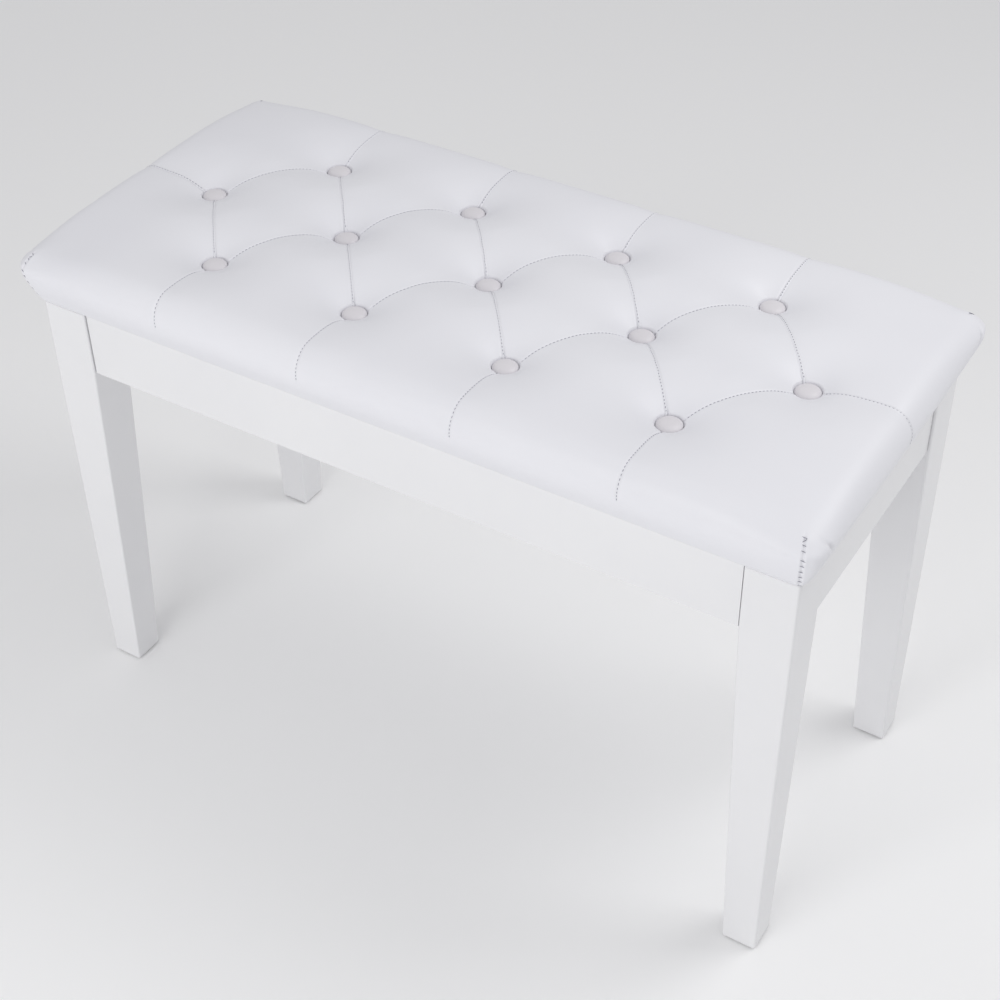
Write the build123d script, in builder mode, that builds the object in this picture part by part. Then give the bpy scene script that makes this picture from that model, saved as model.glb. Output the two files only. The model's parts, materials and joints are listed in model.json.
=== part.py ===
"""Upholstered piano bench with a music compartment under its hinged seat.

Millimetres, +X along the length, +Y to the rear (the hinge side), +Z up.
The origin is on the floor, under the middle of the seat.
"""

import os
from math import cos, radians, sin, sqrt

from build123d import *

os.makedirs("parts", exist_ok=True)

# ---- overall -------------------------------------------------------------
SEAT_L = 760.0  # over the cushion's widest line
SEAT_W = 350.0
SEAT_H = 500.0  # floor to the crown of the cushion

# ---- legs and aprons -----------------------------------------------------
LEG_X = 364.0  # outer faces of the legs
LEG_Y = 160.0
LEG_TOP = 45.0  # square section beside the aprons
LEG_FOOT = 31.5  # square section at the floor
FRAME_TOP = 431.0
APRON_BOTTOM = 367.0
APRON_T = 18.0
REVEAL = 2.5  # legs stand proud of the aprons
SHADOW_GAP = 1.0  # between an apron's end and its leg
PAD_T = 2.0
PAD_SIDE = 27.0
LEG_ROUND = 2.0
LEG_CHAMFER = 14.0  # flat on the inner corner, behind the corner block
CHAMFER_START = 6.0  # that flat begins this far above the aprons' lower edge
EDGE_EASE = 0.8
PAD_ROUND = 3.0
BUMPER_R = 5.0
BUMPER_IN_X = 24.0  # lid bumpers, in from the legs' outer faces
BUMPER_IN_Y = 17.0

APRON_X = LEG_X - REVEAL
APRON_Y = LEG_Y - REVEAL
INNER_X = APRON_X - APRON_T
INNER_Y = APRON_Y - APRON_T
POST_X = LEG_X - LEG_TOP
POST_Y = LEG_Y - LEG_TOP

# ---- compartment floor ---------------------------------------------------
PANEL_Z = 373.0
PANEL_T = 4.0
GROOVE_DEPTH = 6.0
PANEL_PLAY = 0.5  # room round the panel's edge
FIT = 0.1  # clearance of wood in wood

# ---- corner blocks -------------------------------------------------------
BLOCK_Z = 382.0
BLOCK_H = 38.0
BLOCK_T = 16.0
EAR_L = 17.0
EAR_T = 9.0
BOLT_R = 3.0
BOLT_Z = (392.0, 410.0)
BOLT_IN_LEG = 24.0
BOLT_PROUD = 10.0
BOLT_PLAY = 0.3
WASHER_PLAY = 0.2
WASHER_R = 6.5
WASHER_T = 1.2
NUT_R = 5.0  # half across flats
NUT_T = 5.0
SCREW_R = 2.0
SCREW_HEAD_R = 3.8
SCREW_HEAD_H = 2.0
SCREW_L = 21.0

# ---- seat ----------------------------------------------------------------
LID_UNDER = 432.4  # underside of the turned-in cover
COVER_T = 1.2
BOARD_T = 15.0
BOARD_X = 362.0
BOARD_Y = 157.0
BOARD_ROUND = 12.0
BOTTOM_TUCK = 13.0  # the cushion's lower edge stands this far inside its widest line
WIDEST_Z = 464.0
SHOULDER_Z = 487.0
SHOULDER_IN = 16.0
END_IN = 28.0  # the short ends are rounded over this length
TURN_IN = 44.0  # cover turned in under the board
DUST_IN = 38.0
DUST_T = 0.5
STAPLE_STEP = 36.0
STAPLE_CROWN = 10.0
STAPLE_WIRE = 0.8
STAPLE_LEG = 8.0

BOARD_Z = LID_UNDER + COVER_T
BOARD_TOP = BOARD_Z + BOARD_T

# ---- buttons: a middle row of five, with rows of four half a step aside --
BUTTON_STEP = 146.5
BUTTON_ROW_Y = 92.0
BUTTON_R = 11.0
BUTTON_H = 7.0
BUTTON_Z = 474.0  # bottom of each pocket
POCKET_R = 13.0
TWINE_R = 1.2
TWINE_PLAY = 0.3
TWINE_HOLE_R = 2.5  # in the board
KNOT_R = 3.5
SKIN_GAP = 0.1  # keeps touching soft parts apart
BUTTON_BACK_R = 10.0
BUTTON_RIM_H = 2.0

# ---- hinges --------------------------------------------------------------
HINGE_X = 225.0
HINGE_L = 64.0
KNUCKLE_R = 4.5
KNUCKLE_GAP = 0.3
PIN_R = 2.25
RUNNING = 0.05  # radial clearance of a turning pin
LEAF_T = 1.6
LEAF_H = 30.0
KNUCKLES = 5
MORTISE = 1.0
HINGE_SCREW_R = 1.7
HINGE_SCREW_HEAD_R = 3.2
HINGE_SCREW_HEAD_H = 1.5
HINGE_SCREW_L = 13.0
SCREW_PLAY = 0.1
PIN_CAP_R = 4.1
PIN_CAP_T = 1.8
PIN_CAP_GAP = 0.2
PIN_CAP_EASE = 0.9

AXIS_Y = APRON_Y + KNUCKLE_GAP + KNUCKLE_R
AXIS_Z = LID_UNDER - KNUCKLE_GAP - KNUCKLE_R

# ---- lid stays -----------------------------------------------------------
# The arm is as long as its pivot is far from the hinge line, and its slot points at the
# hinge line, so the arm turns exactly twice as far as the lid.
STAY_R = 132.0
STAY_REST = 4.0  # degrees between the slot and the line from hinge to pivot, lid closed
LID_OPEN = 74.0
STAY_PIN_R = 2.0
STAY_SLOT_R = 2.15
PIVOT_PIN_R = 2.5
PIVOT_COLLAR_R = 4.5
PIVOT_HEAD_R = 4.8
SLIDE_HEAD_R = 3.2
RIVET_R = 3.0
RIVET_T = 0.6
RIVET_FIT = 0.01
HEAD_T = 1.2
HEAD_GAP = 0.2  # between a pin's head and the part that turns on it
PLATE_T = 1.5
ARM_T = 2.0
WEB_T = 1.5
FLANGE_T = 1.0
ARM_TIP_R = 3.4
ARM_ROOT_R = 6.0
ARM_X = INNER_X - PLATE_T - 0.7  # outer face of the arm
WEB_X = INNER_X - 6.5  # outer face of the slotted web
FLANGE_W = 10.0
TRACK_SCREW_R = 1.6
TRACK_SCREW_HEAD_R = 2.5
TRACK_SCREW_HEAD_H = 1.0
TRACK_SCREW_L = 12.0

PIVOT_Y = AXIS_Y - STAY_R * cos(radians(STAY_REST))
PIVOT_Z = AXIS_Z - STAY_R * sin(radians(STAY_REST))
SLIDE_REST = 2 * STAY_R * cos(radians(STAY_REST))
SLIDE_OPEN = 2 * STAY_R * cos(radians(STAY_REST + LID_OPEN))

SIDES = ((-1, "left"), (1, "right"))
ENDS = ((-1, "front"), (1, "back"))
CORNERS = [(sx, sy, f"{end}_{side}") for sy, end in ENDS for sx, side in SIDES]


def save(piece, label):
    """Label one finished piece and write it."""
    piece.label = label
    export_step(piece, f"parts/{label}.step")


def facing(point, outward):
    """Plane on a surface at a point, its normal pointing out of the material."""
    return Plane(origin=point, z_dir=outward)


def screw(spot, shank_r, head_r, head_h, length, sunk=True):
    """Wood screw with its head flush with a spot's surface, or standing on it."""
    if sunk:
        head = [(0, 0), (head_r, 0), (shank_r, -head_h)]
    else:
        head = [(0, head_h), (0.6 * head_r, head_h), (head_r, 0.3 * head_h), (head_r, 0), (shank_r, 0)]
    with BuildPart() as one_screw:
        with BuildSketch(Plane(origin=spot.origin, x_dir=spot.x_dir, z_dir=-spot.y_dir)):
            with BuildLine():
                Polyline(*head, (shank_r, 2 * shank_r - length), (0, -length), close=True)
            make_face()
        revolve(axis=Axis(spot.origin, spot.z_dir))
    return one_screw.part


def button_places():
    """Plan positions of the buttons, front row first."""
    front = [((i - 1.5) * BUTTON_STEP, -BUTTON_ROW_Y) for i in range(4)]
    middle = [((i - 2) * BUTTON_STEP, 0.0) for i in range(5)]
    back = [(x, -y) for x, y in front]
    return front + middle + back


def leg(sx, sy):
    """Square post, tapered below the aprons on its two inner faces."""
    top_centre = (sx * (LEG_X - LEG_TOP / 2), sy * (LEG_Y - LEG_TOP / 2))
    foot_centre = (sx * (LEG_X - LEG_FOOT / 2), sy * (LEG_Y - LEG_FOOT / 2))
    with BuildPart() as post:
        with BuildSketch(Plane.XY.offset(PAD_T)):
            with Locations(foot_centre):
                RectangleRounded(LEG_FOOT, LEG_FOOT, LEG_ROUND)
        with BuildSketch(Plane.XY.offset(APRON_BOTTOM)):
            with Locations(top_centre):
                RectangleRounded(LEG_TOP, LEG_TOP, LEG_ROUND)
        loft()
        with BuildSketch(Plane.XY.offset(APRON_BOTTOM)):
            with Locations(top_centre):
                RectangleRounded(LEG_TOP, LEG_TOP, LEG_ROUND)
        extrude(amount=FRAME_TOP - APRON_BOTTOM)
        chamfer(post.faces().sort_by(Axis.Z)[-1].edges(), EDGE_EASE)
        with BuildSketch(Plane.XY.offset(APRON_BOTTOM + CHAMFER_START)):
            with BuildLine():
                Polyline(
                    (sx * POST_X, sy * POST_Y),
                    (sx * (POST_X + LEG_CHAMFER), sy * POST_Y),
                    (sx * POST_X, sy * (POST_Y + LEG_CHAMFER)),
                    close=True,
                )
            make_face()
        extrude(amount=FRAME_TOP, mode=Mode.SUBTRACT)
    return post.part


for sx, sy, corner in CORNERS:
    save(leg(sx, sy), f"leg_{corner}")

foot_centres = [
    (sx * (LEG_X - LEG_FOOT / 2), sy * (LEG_Y - LEG_FOOT / 2)) for sx, sy, _ in CORNERS
]
with BuildPart() as foot_pads:
    with BuildSketch():
        with Locations(*foot_centres):
            RectangleRounded(PAD_SIDE, PAD_SIDE, PAD_ROUND)
    extrude(amount=PAD_T)
save(foot_pads.part, "foot_pads")

# ---- aprons --------------------------------------------------------------
LONG_APRON = 2 * (POST_X - SHADOW_GAP)
SHORT_APRON = 2 * (POST_Y - SHADOW_GAP)


def apron(centre, size, groove_centre, groove_size, run):
    """Board on edge with eased corners and a groove for the compartment floor."""
    with BuildPart() as board:
        with BuildSketch(Plane.XY.offset(APRON_BOTTOM)):
            with Locations(centre):
                Rectangle(*size)
        extrude(amount=FRAME_TOP - APRON_BOTTOM)
        chamfer(board.edges().filter_by(run), EDGE_EASE)
        with BuildSketch(Plane.XY.offset(PANEL_Z - FIT)):
            with Locations(groove_centre):
                Rectangle(*groove_size)
        extrude(amount=PANEL_T + 2 * FIT, mode=Mode.SUBTRACT)
    return board.part


for sy, end in ENDS:
    long_board = apron(
        (0, sy * (APRON_Y - APRON_T / 2)),
        (LONG_APRON, APRON_T),
        (0, sy * (INNER_Y + GROOVE_DEPTH / 2)),
        (LONG_APRON, GROOVE_DEPTH),
        Axis.X,
    )
    with BuildPart() as long_apron:
        add(long_board)
        if end == "back":
            with BuildSketch(Plane.XY.offset(FRAME_TOP - MORTISE)):
                with Locations((-HINGE_X, APRON_Y), (HINGE_X, APRON_Y)):
                    Rectangle(HINGE_L + 2 * PANEL_PLAY, 2 * (APRON_T + MORTISE))
            extrude(amount=MORTISE, mode=Mode.SUBTRACT)
    save(long_apron.part, f"apron_{end}")

for sx, side in SIDES:
    short_board = apron(
        (sx * (APRON_X - APRON_T / 2), 0),
        (APRON_T, SHORT_APRON),
        (sx * (INNER_X + GROOVE_DEPTH / 2), 0),
        (GROOVE_DEPTH, SHORT_APRON),
        Axis.Y,
    )
    save(short_board, f"apron_{side}")

# ---- compartment floor ---------------------------------------------------
with BuildPart() as bottom_panel:
    with BuildSketch(Plane.XY.offset(PANEL_Z)):
        Rectangle(2 * (INNER_X + GROOVE_DEPTH - PANEL_PLAY), 2 * (INNER_Y + GROOVE_DEPTH - PANEL_PLAY))
        with Locations(*[(sx * LEG_X, sy * LEG_Y) for sx, sy, _ in CORNERS]):
            Rectangle(2 * (LEG_TOP + PANEL_PLAY), 2 * (LEG_TOP + PANEL_PLAY), mode=Mode.SUBTRACT)
    extrude(amount=PANEL_T)
save(bottom_panel.part, "bottom_panel")

# ---- corner blocks and their fastenings ----------------------------------
# the block's diagonal faces lie on |x| + |y| = OUTER_SUM and INNER_SUM
OUTER_SUM = POST_X + POST_Y + LEG_CHAMFER - FIT
INNER_SUM = OUTER_SUM - BLOCK_T * sqrt(2)
EAR_Y = INNER_SUM - (INNER_X - EAR_T)  # where the ear on a short apron begins
EAR_X = INNER_SUM - (INNER_Y - EAR_T)


def bolt_plane(sx, sy, z, inward):
    """Plane across a corner's bolt, a distance inward from the leg's chamfer, facing the middle."""
    reach = LEG_CHAMFER / 2 - inward / sqrt(2)
    return facing((sx * (POST_X + reach), sy * (POST_Y + reach), z), (-sx, -sy, 0))


for sx, sy, corner in CORNERS:
    outline = [
        (INNER_X - FIT, OUTER_SUM - INNER_X),
        (OUTER_SUM - INNER_Y, INNER_Y - FIT),
        (EAR_X - EAR_L, INNER_Y - FIT),
        (EAR_X - EAR_L, INNER_Y - EAR_T),
        (EAR_X, INNER_Y - EAR_T),
        (INNER_X - EAR_T, EAR_Y),
        (INNER_X - EAR_T, EAR_Y - EAR_L),
        (INNER_X - FIT, EAR_Y - EAR_L),
    ]
    with BuildPart() as block:
        with BuildSketch(Plane.XY.offset(BLOCK_Z)):
            with BuildLine():
                Polyline(*[(sx * x, sy * y) for x, y in outline], close=True)
            make_face()
        extrude(amount=BLOCK_H)
        for z in BOLT_Z:
            with BuildSketch(bolt_plane(sx, sy, z, -BOLT_R)):
                Circle(BOLT_R + BOLT_PLAY)
            extrude(amount=BLOCK_T + 2 * BOLT_R, mode=Mode.SUBTRACT)
    save(block.part, f"corner_block_{corner}")

BOLTS = [(sx, sy, z) for sx, sy, _ in CORNERS for z in BOLT_Z]

with BuildPart() as leg_bolts:
    for sx, sy, z in BOLTS:
        with BuildSketch(bolt_plane(sx, sy, z, -BOLT_IN_LEG)):
            Circle(BOLT_R)
        extrude(amount=BOLT_IN_LEG + BLOCK_T + BOLT_PROUD)
save(leg_bolts.part, "leg_bolts")

with BuildPart() as leg_washers:
    for sx, sy, z in BOLTS:
        with BuildSketch(bolt_plane(sx, sy, z, BLOCK_T + FIT)):
            Circle(WASHER_R)
            Circle(BOLT_R + WASHER_PLAY, mode=Mode.SUBTRACT)
        extrude(amount=WASHER_T)
save(leg_washers.part, "leg_washers")

with BuildPart() as leg_nuts:
    for sx, sy, z in BOLTS:
        with BuildSketch(bolt_plane(sx, sy, z, BLOCK_T + FIT + WASHER_T)):
            RegularPolygon(NUT_R, 6, major_radius=False)
            Circle(BOLT_R + RUNNING, mode=Mode.SUBTRACT)
        extrude(amount=NUT_T)
save(leg_nuts.part, "leg_nuts")

with BuildPart() as block_screws:
    for sx, sy, z in BOLTS:
        on_short = facing((sx * (INNER_X - EAR_T), sy * (EAR_Y - EAR_L / 2), z), (-sx, 0, 0))
        on_long = facing((sx * (EAR_X - EAR_L / 2), sy * (INNER_Y - EAR_T), z), (0, -sy, 0))
        for spot in (on_short, on_long):
            add(screw(spot, SCREW_R, SCREW_HEAD_R, SCREW_HEAD_H, SCREW_L, sunk=False))
save(block_screws.part, "block_screws")

with BuildPart() as lid_bumpers:
    with BuildSketch(Plane.XY.offset(FRAME_TOP)):
        with Locations(*[(sx * (LEG_X - BUMPER_IN_X), sy * (LEG_Y - BUMPER_IN_Y)) for sx, sy, _ in CORNERS]):
            Circle(BUMPER_R)
    extrude(amount=LID_UNDER - KNUCKLE_GAP - FRAME_TOP)
save(lid_bumpers.part, "lid_bumpers")


# ---- seat ----------------------------------------------------------------
def end_profile(half, inset, bottom, shoulder_in, shoulder_z, crown_z):
    """Section across one of the cushion's widths: crowned, with half-round edges and a flat base."""
    edge = half - inset
    rise = shoulder_z - inset - WIDEST_Z
    low = (edge - BOTTOM_TUCK, bottom)
    widest = (edge, WIDEST_Z)
    shoulder = (edge - shoulder_in, WIDEST_Z + rise)
    with BuildSketch() as profile:
        with BuildLine():
            lower = ThreePointArc(low, (edge - 0.27 * BOTTOM_TUCK, (bottom + WIDEST_Z) / 2 - 1), widest)
            upper = ThreePointArc(widest, (edge - 0.3 * shoulder_in, WIDEST_Z + 0.7 * rise), shoulder)
            mirror(lower, about=Plane.YZ)
            mirror(upper, about=Plane.YZ)
            ThreePointArc(shoulder, (0, crown_z - inset), (-shoulder[0], shoulder[1]))
            Line((-low[0], low[1]), low)
        make_face()
    return profile.sketch


def cushion_shape(inset, bottom):
    """Cushion crowned across its depth, with half-round edges, a pocket for each button and a flat base."""
    half_l = SEAT_L / 2
    half_w = SEAT_W / 2
    with BuildPart() as cushion:
        with BuildSketch(Plane.YZ):
            add(end_profile(half_w, inset, bottom, SHOULDER_IN, SHOULDER_Z, SEAT_H))
        extrude(amount=half_l, both=True)
        with BuildSketch(Plane.XZ):
            add(end_profile(half_l, inset, bottom, END_IN, SEAT_H + 2, SEAT_H + 6))
        extrude(amount=half_w, both=True, mode=Mode.INTERSECT)
        with BuildSketch(Plane.XY.offset(BUTTON_Z - inset)):
            with Locations(*button_places()):
                Circle(POCKET_R + inset)
        extrude(amount=SEAT_H, mode=Mode.SUBTRACT)
    return cushion.part


with BuildPart() as seat_board:
    with BuildSketch(Plane.XY.offset(BOARD_Z)):
        RectangleRounded(2 * BOARD_X, 2 * BOARD_Y, BOARD_ROUND)
    extrude(amount=BOARD_T)
    with Locations(*[(x, y, BOARD_TOP) for x, y in button_places()]):
        Hole(TWINE_HOLE_R)
save(seat_board.part, "seat_board")

with BuildPart() as seat_foam:
    add(cushion_shape(COVER_T, BOARD_Z))
    with BuildSketch(Plane.XY.offset(BOARD_Z)):
        RectangleRounded(2 * BOARD_X, 2 * BOARD_Y, BOARD_ROUND)
    extrude(amount=BOARD_T, mode=Mode.SUBTRACT)
    with Locations(*[(x, y, BUTTON_Z) for x, y in button_places()]):
        Hole(TWINE_R + TWINE_PLAY)
save(seat_foam.part, "seat_foam")

with BuildPart() as seat_cover:
    add(cushion_shape(0.0, LID_UNDER))
    add(cushion_shape(COVER_T, BOARD_Z), mode=Mode.SUBTRACT)
    with BuildSketch(Plane.XY.offset(LID_UNDER)):
        Rectangle(2 * (BOARD_X - TURN_IN), 2 * (BOARD_Y - TURN_IN))
    extrude(amount=COVER_T, mode=Mode.SUBTRACT)
    with Locations(*[(x, y, BUTTON_Z) for x, y in button_places()]):
        Hole(TWINE_R + TWINE_PLAY, depth=2 * COVER_T)
save(seat_cover.part, "seat_cover")

with BuildPart() as dust_cover:
    with BuildSketch(Plane.XY.offset(LID_UNDER - DUST_T)):
        Rectangle(2 * (BOARD_X - DUST_IN), 2 * (BOARD_Y - DUST_IN))
    extrude(amount=DUST_T)
save(dust_cover.part, "dust_cover")

with BuildPart() as staples:
    row_x = BOARD_X - DUST_IN - 3
    row_y = BOARD_Y - DUST_IN - 3
    along_x = int(2 * row_x // STAPLE_STEP)
    along_y = int(2 * row_y // STAPLE_STEP)
    crown_z = LID_UNDER - DUST_T - STAPLE_WIRE
    rows = [
        ((0, sign * row_y), (STAPLE_STEP, 1), (along_x, 1), (STAPLE_CROWN, STAPLE_WIRE))
        for sign in (-1, 1)
    ] + [
        ((sign * row_x, 0), (1, STAPLE_STEP), (1, along_y), (STAPLE_WIRE, STAPLE_CROWN))
        for sign in (-1, 1)
    ]
    for centre, steps, counts, crown in rows:
        with BuildSketch(Plane.XY.offset(crown_z)):
            with Locations(centre):
                with GridLocations(*steps, *counts):
                    Rectangle(*crown)
        extrude(amount=STAPLE_WIRE)
        legs = tuple((size - STAPLE_WIRE) / 2 for size in crown)
        with BuildSketch(Plane.XY.offset(crown_z)):
            with Locations(centre):
                with GridLocations(*steps, *counts):
                    with Locations(legs, tuple(-offset for offset in legs)):
                        Rectangle(STAPLE_WIRE, STAPLE_WIRE)
        extrude(amount=STAPLE_LEG)
save(staples.part, "staples")

# ---- buttons and their twine ---------------------------------------------
for number, (x, y) in enumerate(button_places(), start=1):
    dome_h = BUTTON_H - BUTTON_RIM_H
    dome_r = (BUTTON_R**2 + dome_h**2) / (2 * dome_h)
    with BuildPart() as button:
        with BuildSketch(Plane(origin=(x, y, BUTTON_Z), x_dir=(1, 0, 0), z_dir=(0, -1, 0))):
            with BuildLine():
                Line((0, SKIN_GAP), (BUTTON_BACK_R, SKIN_GAP))
                Line((BUTTON_BACK_R, SKIN_GAP), (BUTTON_R, BUTTON_RIM_H))
                RadiusArc((BUTTON_R, BUTTON_RIM_H), (0, BUTTON_H), -dome_r)
                Line((0, BUTTON_H), (0, SKIN_GAP))
            make_face()
        revolve(axis=Axis((x, y, 0), (0, 0, 1)))
    save(button.part, f"button_{number:02d}")

with BuildPart() as button_twine:
    with BuildSketch(Plane.XY.offset(LID_UNDER + SKIN_GAP)):
        with Locations(*button_places()):
            Circle(KNOT_R)
    extrude(amount=COVER_T - SKIN_GAP)
    with BuildSketch(Plane.XY.offset(LID_UNDER + SKIN_GAP)):
        with Locations(*button_places()):
            Circle(TWINE_R)
    extrude(amount=BUTTON_Z - LID_UNDER)
save(button_twine.part, "button_twine")

# ---- hinges --------------------------------------------------------------
KNUCKLE_PITCH = (HINGE_L + KNUCKLE_GAP) / KNUCKLES
KNUCKLE_L = KNUCKLE_PITCH - KNUCKLE_GAP
LEAF_FACE = KNUCKLE_R + KNUCKLE_GAP  # from the pin to the wood the leaf lies on
PLATE_START = LEAF_FACE + SKIN_GAP
HINGE_SCREW_AT = 0.62 * LEAF_H
DOWN = (0, 0, -1)
FORWARD = (0, -1, 0)


def leaf_plane(x, along):
    """Plane across the pin, its X axis running along a leaf and its Y axis away from the wood."""
    return Plane(origin=(x, AXIS_Y, AXIS_Z), x_dir=along, z_dir=(1, 0, 0))


def leaf_screw_spots(x, along):
    """Planes of a leaf's three screws, on its open face."""
    offsets = (-HINGE_L / 3, 0, HINGE_L / 3)
    planes = [leaf_plane(x + offset, along) for offset in offsets]
    return [
        facing(plane.from_local_coords(Vector(HINGE_SCREW_AT, LEAF_T - LEAF_FACE)), plane.y_dir)
        for plane in planes
    ]


def hinge_leaf(x, along, first_knuckle):
    """Hinge leaf running from the pin in one direction, with every second knuckle."""
    middles = [(i - (KNUCKLES - 1) / 2) * KNUCKLE_PITCH for i in range(first_knuckle, KNUCKLES, 2)]
    with BuildPart() as leaf:
        with BuildSketch(leaf_plane(x, along)):
            with Locations(((PLATE_START + LEAF_H) / 2, LEAF_T / 2 - LEAF_FACE)):
                Rectangle(LEAF_H - PLATE_START, LEAF_T)
        extrude(amount=HINGE_L / 2, both=True)
        for middle in middles:
            with BuildSketch(leaf_plane(x + middle, along)):
                Circle(KNUCKLE_R)
                with Locations((PLATE_START / 2, LEAF_T / 2 - LEAF_FACE)):
                    Rectangle(PLATE_START, LEAF_T)
            extrude(amount=KNUCKLE_L / 2, both=True)
        with BuildSketch(leaf_plane(x, along)):
            Circle(PIN_R + RUNNING)
        extrude(amount=HINGE_L, both=True, mode=Mode.SUBTRACT)
        with Locations(*leaf_screw_spots(x, along)):
            CounterSinkHole(HINGE_SCREW_R + SCREW_PLAY, HINGE_SCREW_HEAD_R + SCREW_PLAY)
    return leaf.part


for sx, side in SIDES:
    save(hinge_leaf(sx * HINGE_X, DOWN, 0), f"hinge_leaf_frame_{side}")
    save(hinge_leaf(sx * HINGE_X, FORWARD, 1), f"hinge_leaf_lid_{side}")
    with BuildPart() as hinge_pin:
        with BuildSketch(leaf_plane(sx * HINGE_X, DOWN)):
            Circle(PIN_R)
        extrude(amount=HINGE_L / 2 + 2 * PIN_CAP_GAP, both=True)
        for cap in (-1, 1):
            with BuildSketch(leaf_plane(sx * HINGE_X + cap * (HINGE_L / 2 + PIN_CAP_GAP), DOWN)):
                Circle(PIN_CAP_R)
            extrude(amount=cap * PIN_CAP_T)
        for end in (0, -1):
            chamfer(hinge_pin.edges().group_by(Axis.X)[end], PIN_CAP_EASE)
    save(hinge_pin.part, f"hinge_pin_{side}")

for label, along in (("hinge_screws_frame", DOWN), ("hinge_screws_lid", FORWARD)):
    with BuildPart() as hinge_screws:
        for sx, _ in SIDES:
            for spot in leaf_screw_spots(sx * HINGE_X, along):
                add(screw(spot, HINGE_SCREW_R, HINGE_SCREW_HEAD_R, HINGE_SCREW_HEAD_H, HINGE_SCREW_L))
    save(hinge_screws.part, label)

# ---- lid stays -----------------------------------------------------------
PIVOT = (PIVOT_Y, PIVOT_Z)
SLIDE = (AXIS_Y - SLIDE_REST, AXIS_Z)
PLATE_W = 34.0
PLATE_H = 20.0
PLATE_ROUND = 4.0
PLATE_DROP = 2.0  # the plate's middle lies this far below its pivot
PLATE_CENTRE = (PIVOT_Y, PIVOT_Z - PLATE_DROP)
PLATE_SCREW_SPAN = 22.0
PLATE_SCREWS = [(PIVOT_Y + side * PLATE_SCREW_SPAN / 2, PIVOT_Z - 2 * PLATE_DROP) for side in (-1, 1)]
SLOT_PLAY_FRONT = 0.6
SLOT_PLAY_REAR = 0.3
SLOT_FRONT = AXIS_Y - SLIDE_REST - SLOT_PLAY_FRONT
SLOT_REAR = AXIS_Y - SLIDE_OPEN + SLOT_PLAY_REAR
TRACK_MARGIN = 5.5  # web left beyond each end of the slot
WEB_BELOW = 2.2  # web left below the slot
TRACK_SCREW_X = WEB_X - WEB_T - FLANGE_W / 2 - 0.8
TRACK_SCREWS_Y = [SLOT_FRONT + f * (SLOT_REAR - SLOT_FRONT) for f in (0.04, 0.5, 0.96)]


def track_screw_spot(sx, y):
    """Plane of one screw in a track's flange, on the flange's open face."""
    return facing((sx * TRACK_SCREW_X, y, LID_UNDER - FLANGE_T), DOWN)


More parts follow.
